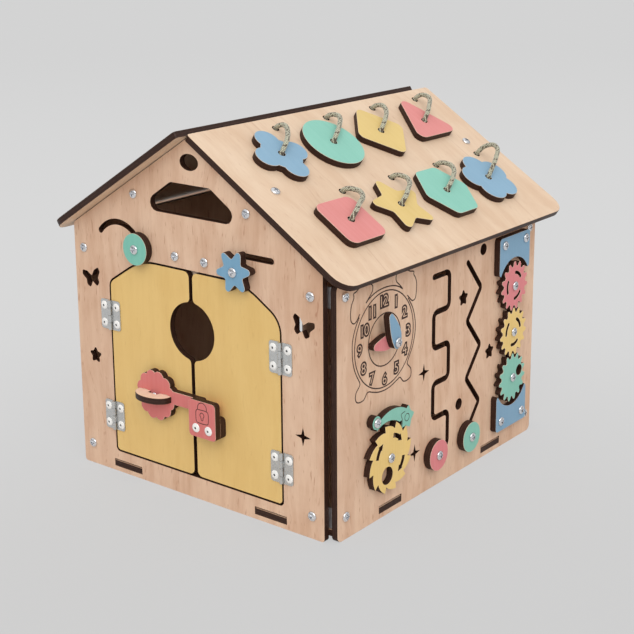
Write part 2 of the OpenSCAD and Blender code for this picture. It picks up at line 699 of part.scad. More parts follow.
// Right-hand hinge at the origin of the wall's face; side is 1 for the frame leaf and -1 for the door leaf
module hinge_leaf(side, knuckles) difference() {
    union() {
        rotate([90, 0, 0]) linear_extrude(leaf_t) polygon(rounded(
            box_points(side * knuckle_cut, -hinge_h / 2, side * leaf_w, hinge_h / 2), [0, leaf_r, leaf_r, 0]));
        for (k = knuckles) translate([0, 0, k[0]]) {
            translate([side > 0 ? 0 : -knuckle_cut - 0.5, -leaf_t, 0]) cube([knuckle_cut + 0.5, leaf_t, k[1] - k[0]]);
            translate([0, -pin_out, 0]) cylinder(r = knuckle_r, h = k[1] - k[0]);
        }
    }
    translate([0, -pin_out, -hinge_h]) cylinder(r = pin_r + bolt_gap, h = 2 * hinge_h);
    for (dz = [-1, 1]) translate([side * rivet_at.x, 1, dz * rivet_at.y]) rotate([90, 0, 0])
        cylinder(r = rivet_r + bolt_gap, h = leaf_t + 2);
}
module each_right_hinge() for (z = hinge_z) translate([hinge_x, front_y, z]) children();
// The frame and the door have every second knuckle, from the bottom up
function knuckles_from(first) = [for (k = [first, first + 2])
    [k * knuckle_h - hinge_h / 2 + knuckle_gap, (k + 1) * knuckle_h - hinge_h / 2 - knuckle_gap]];
module hinge_frame_leaves() color("gainsboro") both_sides() each_right_hinge() hinge_leaf(1, knuckles_from(0));
module right_hinge_leaves() color("gainsboro") each_right_hinge() hinge_leaf(-1, knuckles_from(1));
module left_hinge_leaves() color("gainsboro") mirror([1, 0, 0]) right_hinge_leaves();
module hinge_pins() color("silver") both_sides() each_right_hinge()
    translate([0, -pin_out, -hinge_h / 2]) cylinder(r = pin_r, h = hinge_h);
module hinge_rivets(side) for (z = hinge_z, dz = [-1, 1])
    front_at([hinge_x + side * rivet_at.x, z + dz * rivet_at.y]) rivet(leaf_t, rivet_head_r);
module frame_rivets() color("white") both_sides() hinge_rivets(1);
module right_door_rivets() color("white") hinge_rivets(-1);
module left_door_rivets() color("white") mirror([1, 0, 0]) hinge_rivets(-1);

// ---- latch ----

latch_lobes = 12;
latch_lobe_r = latch_head_r * 0.27;
handle_t = 6.5;
handle_tab = [6, 5];
handle_tab_x = 14;
handle_fit = 0.1;
handle_notch = [12.6, 4];
latch_bolt_head_d = 6.4;
pink = [0.86, 0.47, 0.49];
teal = [0.52, 0.78, 0.71];
blue = [0.5, 0.67, 0.8];
yellow = [0.87, 0.75, 0.46];

module latch_key() color(pink) front_slab(lift, piece_t) translate(latch_pos) difference() {
    union() {
        petals(latch_lobes, latch_head_r - latch_lobe_r, latch_lobe_r, latch_head_r * 0.84, 15);
        polygon(rounded(box_points(0, latch_bar_up - latch_bar_w / 2, latch_reach - latch_pos.x,
            latch_bar_up + latch_bar_w / 2), [0, 2, 2, 0]));
    }
    circle(bolt_r + bolt_gap);
    for (x = [-1, 1]) translate([x * handle_tab_x, 0])
        square([handle_tab.x + 2 * handle_fit, handle_t + 2 * handle_fit], center = true);
}
module latch_handle() color([0.8, 0.66, 0.52]) translate([latch_pos.x, front_y - layer_top, latch_pos.y - handle_t / 2])
    mirror([0, 1, 0]) linear_extrude(handle_t) difference() {
        union() {
            polygon(concat([for (a = [0:7.5:180]) [handle_half * cos(a), handle_out * pow(sin(a), 0.8)]]));
            for (x = [-1, 1]) translate([x * handle_tab_x - handle_tab.x / 2, -handle_tab.y])
                square([handle_tab.x, handle_tab.y + 1]);
        }
        translate([-handle_notch.x / 2, -1]) square([handle_notch.x, handle_notch.y + 1]);
    }
module latch_bolt() color("silver") front_at(latch_pos) {
    bolt(wheel_head_h, board_t + inner_washer_t + screw_end, latch_bolt_head_d);
    ring_at(0, inner_washer_r, lift);
    ring_at(-board_t - inner_washer_t, inner_washer_r, inner_washer_t);
    nut(board_t + inner_washer_t);
}
module lock_outline(h) difference() {
    polygon(rounded(box_points(lock_pos.x, lock_pos.y, lock_pos.x + lock_size.x, lock_pos.y + h), 4));
    holes(lock_rivets_at, rivet_r + bolt_gap);
}
module lock_plate() color(pink) front_slab(lock_under, piece_t) lock_outline(lock_size.y);
spacer_h = latch_pos.y + latch_bar_up - latch_bar_w / 2 - 1.2 - lock_pos.y;
module lock_spacer() color([0.72, 0.56, 0.42]) front_slab(0, lock_under) lock_outline(spacer_h);
module lock_rivets() color("white") for (p = lock_rivets_at) front_at(p)
    rivet(lock_under + piece_t, lock_rivet_head_r);

// ---- slide knobs ----

module knob_bolt() {
    bolt(knob_top, board_t + top_gap + inner_washer_t + screw_end);
    ring_at(0, outer_washer_r, spacer_t);
    ring_at(-board_t - top_gap - inner_washer_t, inner_washer_r, inner_washer_t);
    nut(board_t + top_gap + inner_washer_t);
}
module knob_disc() difference() {
    circle(knob_r);
    circle(bolt_r + bolt_gap);
}
arc_knob_pos = arc_pos + polar(arc_r, arc_ends[0]);
module arc_knob() color(teal) front_slab(spacer_t, knob_t) translate(arc_knob_pos) knob_disc();
module arc_knob_bolt() color("silver") front_at(arc_knob_pos) knob_bolt();
flower_knob_r = [27.5, 12];
flower_knob_round = [3.3, 2];
module flower_knob() color(blue) front_slab(spacer_t, knob_t) translate(flower_pos) difference() {
    polygon(rounded(star(6, flower_knob_r[0], flower_knob_r[1], 8), [for (i = [0:11]) flower_knob_round[i % 2]]));
    circle(bolt_r + bolt_gap);
}
module flower_knob_bolt() color("silver") front_at(flower_pos) knob_bolt();
module maze_knob() color(pink) right_slab(spacer_t, knob_t) translate(wave_end) knob_disc();
module maze_knob_bolt() color("silver") right_at(wave_end) knob_bolt();
module zigzag_knob() color(teal) right_slab(spacer_t, knob_t) translate(zigzag_end) knob_disc();
module zigzag_knob_bolt() color("silver") right_at(zigzag_end) knob_bolt();

// ---- clock ----

hour_len = 27.5;
hour_belly = 2.6;
minute_len = 32;
minute_belly = 3;
minute_lean = 0.9;
minute_turn = 21;
hand_end_r = 6.5;
hand_tip_r = 3.5;
hand_tip_half = 3;
// Half the width of a hand at a share t of its length: it narrows to the tip and bulges by belly
function hand_half(t, belly) =
    hand_end_r * (1 - t) + hand_tip_half * t + belly * sin(180 * pow(t, 0.9)) * (1 - 0.4 * t);
// A hand that points up from its pivot: round end, bulging sides and a blunt tip
function hand_points(reach, belly, lean) = concat(
    arc_path([0, 0], hand_end_r, 180, 360, 10),
    [for (t = [0.2:0.2:0.8]) [hand_half(t, belly + lean), reach * t - hand_tip_half / 3]],
    arc_path([0, reach - hand_tip_r], hand_tip_r, 20, 160, 5),
    [for (t = [0.8:-0.2:0.2]) [-hand_half(t, belly - lean), reach * t - hand_tip_half / 3]]);
module hour_hand() color(pink) right_slab(hour_h, piece_t) translate(clock_pos) difference() {
    rotate(90) polygon(hand_points(hour_len, hour_belly, 0));
    circle(bolt_r + bolt_gap);
}
module minute_hand() color(blue) right_slab(minute_h, piece_t) translate(clock_pos) difference() {
    rotate(minute_turn) polygon(hand_points(minute_len, minute_belly, minute_lean));
    circle(bolt_r + bolt_gap);
}
module clock_bolt() color("silver") right_at(clock_pos) {
    bolt(clock_top - head_h, board_t + screw_end);
    ring_at(0, outer_washer_r, hour_h - top_gap / 2);
    nut(board_t);
}

// ---- ratchet ----

ratchet_teeth = 12;
ratchet_turn = 15;
ratchet_steep = 1.5;
ratchet_hole = [17.2, -108];
ratchet_hole_r = 8.8;
arrow_r = 21.75;
arrow_w = 4.5;
arrow_head_w = 7.5;
arrow_half = 22.5;
arrow_neck = 6;
// Saw teeth that rise round the wheel and drop at the tip; grow opens the outline out all round
function ratchet_points(grow) =
    let (steep = asin(grow / ratchet_r), pitch = 360 / ratchet_teeth)
    [for (k = [0:ratchet_teeth - 1], t = [0, 0.2, 0.45, 0.7, 1])
        let (tip = ratchet_turn + pitch * k + steep)
        polar(ratchet_r - ratchet_tooth * (1 - pow(t, 0.8)) + grow,
              tip - (pitch - ratchet_steep) * (1 - t))];
// A curved arrow that points clockwise, centred at angle a
function arrow_points(a) = concat(
    arc_path([0, 0], arrow_r + arrow_w / 2, a + arrow_half, a - arrow_neck, 5),
    [polar(arrow_r + arrow_head_w / 2, a - arrow_neck), polar(arrow_r, a - arrow_half),
     polar(arrow_r - arrow_head_w / 2, a - arrow_neck)],
    arc_path([0, 0], arrow_r - arrow_w / 2, a - arrow_neck, a + arrow_half, 5));
module ratchet_wheel() color(yellow) right_slab(lift, piece_t) translate(ratchet_pos) difference() {
    polygon(ratchet_points(0));
    circle(bolt_r + bolt_gap);
    translate(polar(ratchet_hole[0], ratchet_hole[1])) circle(ratchet_hole_r);
    for (a = [56, 146, -34]) polygon(arrow_points(a));
}
pawl_star_r = 12.4;
pawl_star_turn = 6;
// The arm lies between two arcs: their centres, measured from the pivot, and their radii
pawl_upper_at = [26, -36.5];
pawl_upper_r = 42.3;
pawl_lower_at = [17, -38];
pawl_lower_r = 34;
pawl_arm_half = 12;
pawl_arm_tip = [2, 11];
pawl_hub_r = 6.4;
pawl_clear = 0.45;
module pawl() color(teal) right_slab(lift, piece_t) difference() {
    union() {
        difference() {
            intersection() {
                translate(pawl_pos + pawl_upper_at) circle(pawl_upper_r);
                polygon([pawl_pos + [0, pawl_arm_half], pawl_pos - [0, pawl_arm_half],
                    pawl_star_pos, pawl_star_pos + pawl_arm_tip]);
            }
            translate(pawl_pos + pawl_lower_at) circle(pawl_lower_r);
        }
        translate(pawl_pos) circle(pawl_hub_r);
        translate(pawl_star_pos) polygon(rounded(star(5, pawl_star_r, pawl_star_r * 0.66, pawl_star_turn), 1.2, 3));
    }
    translate(pawl_pos) circle(bolt_r + bolt_gap);
    translate(ratchet_pos) polygon(ratchet_points(pawl_clear));
}
module wheel_bolt() {
    bolt(wheel_head_h, board_t + screw_end);
    ring_at(0, outer_washer_r, lift - top_gap / 2);
    nut(board_t);
}
module ratchet_bolts() color("silver") for (p = [ratchet_pos, pawl_pos]) right_at(p) wheel_bolt();

// ---- gears ----

tooth_root_half = 9;
tooth_tip_half = 3.4;
gear_slot_r = 14.2;
gear_slot_w = 3.4;
gear_slot_half = 24;
gear_finger = [14.9, 17.5];
gear_finger_r = 6;
function gear_points() = [for (k = [0:gear_teeth - 1],
        p = [[gear_root, -tooth_root_half], [gear_r - 1.6, -tooth_tip_half - 1.4], [gear_r, -tooth_tip_half + 1],
             [gear_r, tooth_tip_half - 1], [gear_r - 1.6, tooth_tip_half + 1.4], [gear_root, tooth_root_half]])
    polar(p[0], 90 + 360 * k / gear_teeth + p[1])];
module slotted_gear(p, turns) right_slab(lift, piece_t) translate(p) difference() {
    polygon(gear_points());
    circle(bolt_r + bolt_gap);
    for (a = turns) polygon(slot_outline(
        arc_path([0, 0], gear_slot_r, a - gear_slot_half, a + gear_slot_half, 8), gear_slot_w));
}
module top_gear() color(pink) slotted_gear(gear_centres[0], [57.5, 177.5, -62.5]);
module middle_gear() color(yellow) slotted_gear(gear_centres[1], [38, 157, -78]);
module bottom_gear() color(teal) right_slab(lift, piece_t) translate(gear_centres[2]) difference() {
    polygon(gear_points());
    circle(bolt_r + bolt_gap);
    translate(polar(gear_finger[0], gear_finger[1])) circle(gear_finger_r);
}
module gear_bolts() color("silver") for (p = gear_centres) right_at(p) wheel_bolt();

plate_w = 60.6;
plate_top = 235;
plate_bottom = 22.8;
plate_reach = 15;
plate_gap = 4.4;
module gear_plates() color(blue) right_slab(0, piece_t) difference() {
    for (p = [[gear_centres[0].y + plate_reach, plate_top], [plate_bottom, gear_centres[2].y - plate_reach]])
        translate([gear_pos.x, 0]) polygon(rounded(box_points(-plate_w / 2, p[0], plate_w / 2, p[1]), 4));
    for (p = gear_centres) translate(p) circle(gear_r + plate_gap);
    holes(plate_screw_at);
}
module plate_screws() color("silver") for (p = plate_screw_at) right_at(p) {
    bolt(piece_t, board_t + screw_end);
    nut(board_t);
}

// ---- roof tiles ----

module tile(row, column, c) color(c) roof_slab(0, piece_t) translate([tile_y[column], -tile_s[row]]) difference() {
    children();
    circle(d = cord_hole_d);
}
clover_lobe = 13.5;
clover_reach = [33, 34.5];
diamond_half = 38.6;
triangle_half = 37;
triangle_top = 43;
triangle_foot = 23.6;
hexagon_size = [70.6, 65];
module clover_tile() tile(0, 0, blue) {
    circle(22);
    for (x = [-1, 1]) {
        translate([x * (clover_reach.x - clover_lobe), 0]) circle(clover_lobe);
        translate([0, x * (clover_reach.y - clover_lobe)]) circle(clover_lobe);
    }
}
module round_tile() tile(0, 1, teal) circle(round_tile_r);
module diamond_tile() tile(0, 2, yellow)
    polygon(rounded([[diamond_half, 0], [0, diamond_half], [-diamond_half, 0], [0, -diamond_half]], 8));
module triangle_tile() tile(0, 3, pink)
    polygon(rounded([[-triangle_half, -triangle_foot], [triangle_half, -triangle_foot], [0, triangle_top]], 8));
module square_tile() tile(1, 0, pink) polygon(rounded(rect(square_tile_w, square_tile_w), 9));
module star_tile() tile(1, 1, yellow) polygon(rounded(star(5, star_tile_r, star_tile_r / 2, 90), 5));
module hexagon_tile() tile(1, 2, teal) polygon(rounded([for (p = [[2, 0], [1, 2], [-1, 2], [-2, 0], [-1, -2], [1, -2]])
    [p.x * hexagon_size.x / 4, p.y * hexagon_size.y / 4]], 8));
flower_lobe = [18.5, 16];
module flower_tile() tile(1, 3, blue) petals(5, flower_lobe[0], flower_lobe[1], 20, 90);

// ---- cords ----

function cord_route(i) = concat(
    [[cord_dy, cord_ds, -board_t - cord_start], [cord_dy, cord_ds, 1]],
    [for (p = cord_mid[i]) [p.x, -p.y, p.z]],
    [[0, 0, piece_t - 1], [0, 0, cord_end]]);
// Rings of points round a route, each square to the line between its neighbours
function ring_points(route, r, n) =
    let (m = len(route) - 1)
    [for (i = [0:m])
        let (d = unit(route[min(i + 1, m)] - route[max(i - 1, 0)]), u = unit(cross(d, [1, -1, 0])), v = cross(d, u))
        each [for (k = [0:n - 1]) route[i] + r * (u * cos(360 * k / n) + v * sin(360 * k / n))]];
module tube(route, r, n) {
    m = len(route);
    polyhedron(ring_points(route, r, n), concat(
        [[for (k = [0:n - 1]) k]],
        [for (i = [0:m - 2], k = [0:n - 1]) each [
            [i * n + k, (i + 1) * n + k, i * n + (k + 1) % n],
            [i * n + (k + 1) % n, (i + 1) * n + k, (i + 1) * n + (k + 1) % n]]],
        [[for (k = [n - 1:-1:0]) (m - 1) * n + k]]), convexity = 4);
}
module each_tile() for (row = [0, 1], column = [0:3]) {
    $tile = row * 4 + column;
    roof_frame() translate([tile_y[column], -tile_s[row], board_t]) children();
}
module roof_cords() color([0.75, 0.77, 0.7]) each_tile() tube(cord_route($tile), cord_d / 2, cord_sides);
knot_r = 5.5;
knot_cut = 3;
module cord_knots() color([0.75, 0.77, 0.7]) each_tile()
    translate([cord_dy, cord_ds, -board_t - cord_start - knot_cut]) intersection() {
        sphere(knot_r);
        translate([-knot_r, -knot_r, -knot_r]) cube([2 * knot_r, 2 * knot_r, knot_r + knot_cut]);
    }

at_origin() front_wall();
at_origin() back_wall();
at_origin() left_wall();
at_origin() right_wall();
at_origin() floor_panel();
at_origin() roof_left();
at_origin() roof_right();
at_origin() front_corner_braces();
at_origin() back_corner_braces();
at_origin() roof_braces();
at_origin() wall_screws();
at_origin() roof_screws();
at_origin() inner_nuts();
at_origin() door_stop();
at_origin() left_door();
at_origin() right_door();
at_origin() hinge_frame_leaves();
at_origin() left_hinge_leaves();
at_origin() right_hinge_leaves();
at_origin() hinge_pins();
at_origin() frame_rivets();
at_origin() left_door_rivets();
at_origin() right_door_rivets();
at_origin() latch_key();
at_origin() latch_handle();
at_origin() latch_bolt();
at_origin() lock_plate();
at_origin() lock_spacer();
at_origin() lock_rivets();
at_origin() arc_knob();
at_origin() arc_knob_bolt();
at_origin() flower_knob();
at_origin() flower_knob_bolt();
at_origin() hour_hand();
at_origin() minute_hand();
at_origin() clock_bolt();
at_origin() maze_knob();
at_origin() maze_knob_bolt();
at_origin() zigzag_knob();
at_origin() zigzag_knob_bolt();
at_origin() ratchet_wheel();
at_origin() pawl();
at_origin() ratchet_bolts();
at_origin() top_gear();
at_origin() middle_gear();
at_origin() bottom_gear();
at_origin() gear_bolts();
at_origin() gear_plates();
at_origin() plate_screws();
at_origin() clover_tile();
at_origin() round_tile();
at_origin() diamond_tile();
at_origin() triangle_tile();
at_origin() square_tile();
at_origin() star_tile();
at_origin() hexagon_tile();
at_origin() flower_tile();
at_origin() roof_cords();
at_origin() cord_knots();
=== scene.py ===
# %% [markdown]
# # A wooden busy board house
# The toy is a little house of thin plywood with painted play pieces screwed to it. The
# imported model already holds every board, wheel, bolt and hinge at its true place. This
# file gives them their finishes, ties the cords, burns the fine lines into the wood, and
# sets up a plain studio. The model could be copied and reshaped by hand, but a fixed frame
# keeps each piece where the joints need it, so only what is soft or drawn is made new.

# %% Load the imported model
import json
import math
import bpy
import numpy as np
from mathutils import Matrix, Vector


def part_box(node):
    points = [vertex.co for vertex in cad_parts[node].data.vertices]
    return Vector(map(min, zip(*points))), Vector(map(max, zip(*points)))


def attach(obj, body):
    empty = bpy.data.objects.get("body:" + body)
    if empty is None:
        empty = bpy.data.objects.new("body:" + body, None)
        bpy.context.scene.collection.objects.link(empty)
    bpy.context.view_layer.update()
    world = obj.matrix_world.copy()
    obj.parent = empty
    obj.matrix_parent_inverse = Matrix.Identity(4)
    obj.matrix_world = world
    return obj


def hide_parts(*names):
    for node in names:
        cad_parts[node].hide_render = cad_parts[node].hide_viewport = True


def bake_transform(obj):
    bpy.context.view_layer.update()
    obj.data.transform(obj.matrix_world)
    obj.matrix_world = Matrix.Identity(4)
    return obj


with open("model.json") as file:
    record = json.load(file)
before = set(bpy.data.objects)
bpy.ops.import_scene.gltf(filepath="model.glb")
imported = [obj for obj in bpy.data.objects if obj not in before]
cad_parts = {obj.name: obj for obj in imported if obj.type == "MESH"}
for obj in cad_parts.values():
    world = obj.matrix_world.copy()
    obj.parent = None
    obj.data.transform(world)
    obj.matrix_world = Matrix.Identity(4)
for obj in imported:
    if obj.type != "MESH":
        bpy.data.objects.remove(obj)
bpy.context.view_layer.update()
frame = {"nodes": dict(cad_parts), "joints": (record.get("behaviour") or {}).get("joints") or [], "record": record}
mm = 0.001

# %% [markdown]
# ## Places on the house
# All lengths below are written in millimetres, measured from the middle of the door wall
# and the middle of the toy wall, because that is how one would mark out the real boards.
# Three small functions turn such marks into points of the model: one for the door wall,
# one for the toy wall and one for the roof. They read the walls' own boxes, so they
# follow the boards.

# %% Three ways to mark out a point
front_low, front_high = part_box("front_wall")
side_low, side_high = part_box("right_wall")
house_x = (front_low.x + front_high.x) / 2
house_y = (side_low.y + side_high.y) / 2
piece_t = 7.0


def on_front(x, z, out=0.0):
    """Points on the door wall: x to the right, z up, and out towards the viewer."""
    x, z, out = np.broadcast_arrays(x, z, out)
    return np.stack([house_x + x * mm, front_low.y - out * mm, z * mm], axis=-1)


def on_side(y, z, out=0.0):
    """Points on the toy wall: y towards the back, z up, and out to the right."""
    y, z, out = np.broadcast_arrays(y, z, out)
    return np.stack([side_high.x + out * mm, house_y + y * mm, z * mm], axis=-1)


print("door wall at y", round(front_low.y / mm, 1), "toy wall at x", round(side_high.x / mm, 1))

# %% The roof's own directions
roof_out = np.array(next(j["axis"] for j in frame["joints"] if j["name"] == "round_tile_lift"))
roof_back = np.array([0.0, 1.0, 0.0])
roof_up = np.cross(roof_out, roof_back)
tile_low, tile_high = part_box("round_tile")
tile_y = [-108.3, -28.4, 51.4, 131.4]
tile_s = [57.0, 154.3]
first_tile = np.array((tile_low + tile_high) / 2) - roof_out * piece_t / 2 * mm


def on_roof(y, s, out=0.0):
    """Points on the right roof board: y back, s down the slope from the ridge, out of the roof."""
    y, s, out = (np.asarray(v, float)[..., None] * mm for v in np.broadcast_arrays(y, s, out))
    return first_tile + (y - tile_y[1] * mm) * roof_back - (s - tile_s[0] * mm) * roof_up + out * roof_out


print("roof leans", round(math.degrees(math.acos(roof_out[2])), 2), "degrees")

# %% [markdown]
# ## Camera
# A toy like this is best seen from a little above, with the corner between the door and
# the toys towards the viewer. A long lens keeps the walls' edges nearly parallel. It is
# shifted instead of tilted further, so that the upright edges stay as upright as they look
# to the eye.

# %% Camera
camera_data = bpy.data.cameras.new("camera")
camera_data.lens = 77.771
camera_data.sensor_width = 36
camera_data.shift_x = -0.05893
camera_data.shift_y = -0.1373
camera_data.clip_end = 200
camera = bpy.data.objects.new("camera", camera_data)
camera.location = (0.8698, -1.0867, 0.5799)
camera.rotation_euler = [math.radians(a) for a in (76.1765, 0.0636, 36.9777)]
bpy.context.scene.collection.objects.link(camera)
bpy.context.scene.camera = camera
print("camera lens", camera_data.lens, "mm")

# %% [markdown]
# ## Small tools for shader nodes
# A finish is a graph of nodes. Building it by hand takes three lines a node, so a few
# short helpers add a node, fill its sockets and hand back what comes out. A helper per
# kind of sum keeps the finishes further down as short as a recipe.

# %% Node helpers


def put(tree, kind, inputs=None, **settings):
    """Adds one shader node, sets its properties, and joins or fills its named inputs."""
    node = tree.nodes.new("ShaderNode" + kind)
    for key, value in settings.items():
        setattr(node, key, value)
    for key, value in (inputs or {}).items():
        if isinstance(value, bpy.types.NodeSocket):
            tree.links.new(value, node.inputs[key])
        else:
            node.inputs[key].default_value = value
    return node


def maths(tree, operation, *values, clamp=False):
    """One sum of up to three numbers or sockets."""
    return put(tree, "Math", dict(enumerate(values)), operation=operation, use_clamp=clamp).outputs[0]


def vectors(tree, operation, *values):
    """One sum of vectors. A dot product comes out as a number, anything else as a vector."""
    node = put(tree, "VectorMath", dict(enumerate(values)), operation=operation)
    return node.outputs["Value" if operation == "DOT_PRODUCT" else "Vector"]


def ranged(tree, value, low, high, to_low=0.0, to_high=1.0):
    """An S-shaped step: to_low below low, to_high above high, smooth in between."""
    ends = {"Value": value, "From Min": low, "From Max": high, "To Min": to_low, "To Max": to_high}
    return put(tree, "MapRange", ends, interpolation_type="SMOOTHSTEP").outputs[0]


def blended(tree, factor, a, b, how="MIX"):
    """Two colours mixed: a where the factor is 0 and b where it is 1."""
    return put(tree, "Mix", {0: factor, 6: a, 7: b}, data_type="RGBA", blend_type=how).outputs[2]


def noise(tree, vector, scales, detail=2.0, rough=0.5):
    """Cloudy noise with its own number of clouds per metre along each direction."""
    stretched = vectors(tree, "MULTIPLY", vector, scales)
    spots = {"Vector": stretched, "Scale": 1.0, "Detail": detail, "Roughness": rough}
    return put(tree, "TexNoise", spots).outputs["Fac"]


print("node helpers ready")

# %% Groups and colours


def shader_group(name, inputs, outputs):
    """An empty node group with named inputs, each with its kind and value, and named outputs."""
    group = bpy.data.node_groups.new(name, "ShaderNodeTree")
    for title, kind, value in inputs:
        socket = group.interface.new_socket(title, in_out="INPUT", socket_type="NodeSocket" + kind)
        socket.default_value = value
    for title, kind in outputs:
        group.interface.new_socket(title, in_out="OUTPUT", socket_type="NodeSocket" + kind)
    return group, group.nodes.new("NodeGroupInput").outputs, group.nodes.new("NodeGroupOutput").inputs


def use_group(tree, group, inputs):
    """Places a node group in a material with its own values, and returns its outputs."""
    node = tree.nodes.new("ShaderNodeGroup")
    node.node_tree = group
    for key, value in inputs.items():
        if isinstance(value, bpy.types.NodeSocket):
            tree.links.new(value, node.inputs[key])
        else:
            node.inputs[key].default_value = value
    return node.outputs


def tint(red, green, blue):
    """A colour given as 0 to 255 display values, turned into the linear light that shaders use."""
    share = np.array([red, green, blue]) / 255
    light = np.where(share <= 0.04045, share / 12.92, ((share + 0.055) / 1.055) ** 2.4)
    return (*light, 1.0)


print("middle grey is", round(float(tint(128, 128, 128)[0]), 3), "in linear light")

# %% [markdown]
# ## Where on a board
# Wood has a direction. Each board finish needs to know how far a point lies across the
# grain, along it, and in from the face. A group works that out from the point and two
# directions: along the grain, and out of the board. Image textures would need every board
# unwrapped, but this way one recipe fits them all.

# %% Board coordinates
board_place, given, made = shader_group(
    "board place",
    [("Point", "Vector", (0, 0, 0)), ("Along", "Vector", (0, 0, 1)), ("Out", "Vector", (0, -1, 0))],
    [("Place", "Vector")])
across = vectors(board_place, "CROSS_PRODUCT", given["Along"], given["Out"])
place = put(board_place, "CombineXYZ", {
    "X": vectors(board_place, "DOT_PRODUCT", given["Point"], across),
    "Y": vectors(board_place, "DOT_PRODUCT", given["Point"], given["Along"]),
    "Z": vectors(board_place, "DOT_PRODUCT", given["Point"], given["Out"])})
board_place.links.new(place.outputs[0], made["Place"])
print("group", board_place.name)

# %% [markdown]
# ## Face, rim and edge
# A laser cuts the boards: the faces keep their wood or paint, and the cut edges are scorched
# dark brown. Where the two meet is a thin rim: darker brown on birch, and on paint a pale
# line that is partly bare wood and partly a painted highlight. The surface's own direction
# tells them apart: it points out of the board on a face, sideways on an edge, and halfway
# on the small rounding between.

# %% Face and edge masks
cut_sheet, given, made = shader_group(
    "cut sheet",
    [("Normal", "Vector", (0, 0, 1)), ("Out", "Vector", (0, -1, 0))],
    [("Face", "Float"), ("Rim", "Float")])
facing = maths(cut_sheet, "ABSOLUTE", vectors(cut_sheet, "DOT_PRODUCT", given["Normal"], given["Out"]))
cut_sheet.links.new(ranged(cut_sheet, facing, 0.3, 0.5), made["Face"])
not_flat = ranged(cut_sheet, facing, 0.9, 0.99, 1.0, 0.0)
rim = maths(cut_sheet, "MULTIPLY", ranged(cut_sheet, facing, 0.3, 0.5), not_flat)
cut_sheet.links.new(rim, made["Rim"])
print("group", cut_sheet.name)

# %% [markdown]
# ## Birch
# Rotary-cut birch is pale, with soft flowing bands, fine pores and many short reddish
# flecks along the grain, over cloudy patches. Each is its own noise, stretched along the
# grain by its own amount, and the bands are bent by a slow noise first, so that they flow.
# A scanned wood texture would be quicker, but it repeats and can't be scaled to each board.

# %% Birch grain group
birch_grain, given, made = shader_group(
    "birch grain",
    [("Place", "Vector", (0, 0, 0)), ("Light", "Color", (0.8, 0.6, 0.4, 1)),
     ("Dark", "Color", (0.5, 0.3, 0.2, 1)), ("Fleck", "Color", (0.4, 0.2, 0.1, 1)),
     ("Bands", "Float", 0.5), ("Flecks", "Float", 0.5), ("Lines", "Float", 0.2)],
    [("Color", "Color"), ("Height", "Float"), ("Dull", "Float")])
tree = birch_grain
drift = noise(tree, given["Place"], (9, 5, 3), 2.0)
bend = put(tree, "CombineXYZ", {"X": maths(tree, "MULTIPLY", drift, 0.05)})
flowing = vectors(tree, "ADD", given["Place"], bend.outputs[0])
bands = ranged(tree, noise(tree, flowing, (62, 5, 12), 4.0, 0.6), 0.36, 0.68)
clouds = ranged(tree, noise(tree, given["Place"], (26, 17, 9), 3.0, 0.6), 0.34, 0.7)
pores = noise(tree, flowing, (900, 55, 160), 2.0, 0.7)
flecks = ranged(tree, noise(tree, flowing, (560, 72, 90), 2.0, 0.55), 0.62, 0.74)
lines = ranged(tree, noise(tree, flowing, (150, 2.4, 20), 3.0, 0.62), 0.62, 0.72)
shade = maths(tree, "MULTIPLY", given["Bands"], maths(tree, "ADD", maths(tree, "MULTIPLY", bands, 0.55),
                                                       maths(tree, "MULTIPLY", clouds, 0.45)))
shade = maths(tree, "ADD", shade, ranged(tree, pores, 0.35, 0.75, -0.06, 0.1), clamp=True)
colour = blended(tree, shade, given["Light"], given["Dark"])
colour = blended(tree, maths(tree, "MULTIPLY", flecks, given["Flecks"]), colour, given["Fleck"])
colour = blended(tree, maths(tree, "MULTIPLY", lines, given["Lines"]), colour, given["Fleck"])
tree.links.new(colour, made["Color"])
tree.links.new(maths(tree, "SUBTRACT", pores, maths(tree, "MULTIPLY", flecks, 0.5)), made["Height"])
tree.links.new(ranged(tree, clouds, 0, 1, 0.42, 0.56), made["Dull"])
print("group", birch_grain.name, len(tree.nodes), "nodes")

# %% [markdown]
# ## Scorched edge
# The laser leaves the edge dark brown. The plies still show as faint stripes, because
# every second one lies across the cut and chars more, and the burn is uneven along it.

# %% Burnt edge group
burnt_edge, given, made = shader_group(
    "burnt edge",
    [("Place", "Vector", (0, 0, 0)), ("Char", "Color", (0.04, 0.02, 0.01, 1)),
     ("Ply", "Color", (0.2, 0.1, 0.05, 1))],
    [("Color", "Color"), ("Height", "Float")])
tree = burnt_edge
depth = put(tree, "SeparateXYZ", {0: given["Place"]}).outputs["Z"]
ply_pitch = 2.6 * mm
stripe = maths(tree, "PINGPONG", depth, ply_pitch / 2)
stripe = ranged(tree, maths(tree, "DIVIDE", stripe, ply_pitch / 2), 0.25, 0.75)
smoke = noise(tree, given["Place"], (240, 240, 1500), 3.0, 0.6)
ply = maths(tree, "MULTIPLY", stripe, ranged(tree, smoke, 0.35, 0.7))
tree.links.new(blended(tree, ply, given["Char"], given["Ply"]), made["Color"])
tree.links.new(maths(tree, "ADD", stripe, smoke), made["Height"])
print("group", burnt_edge.name)
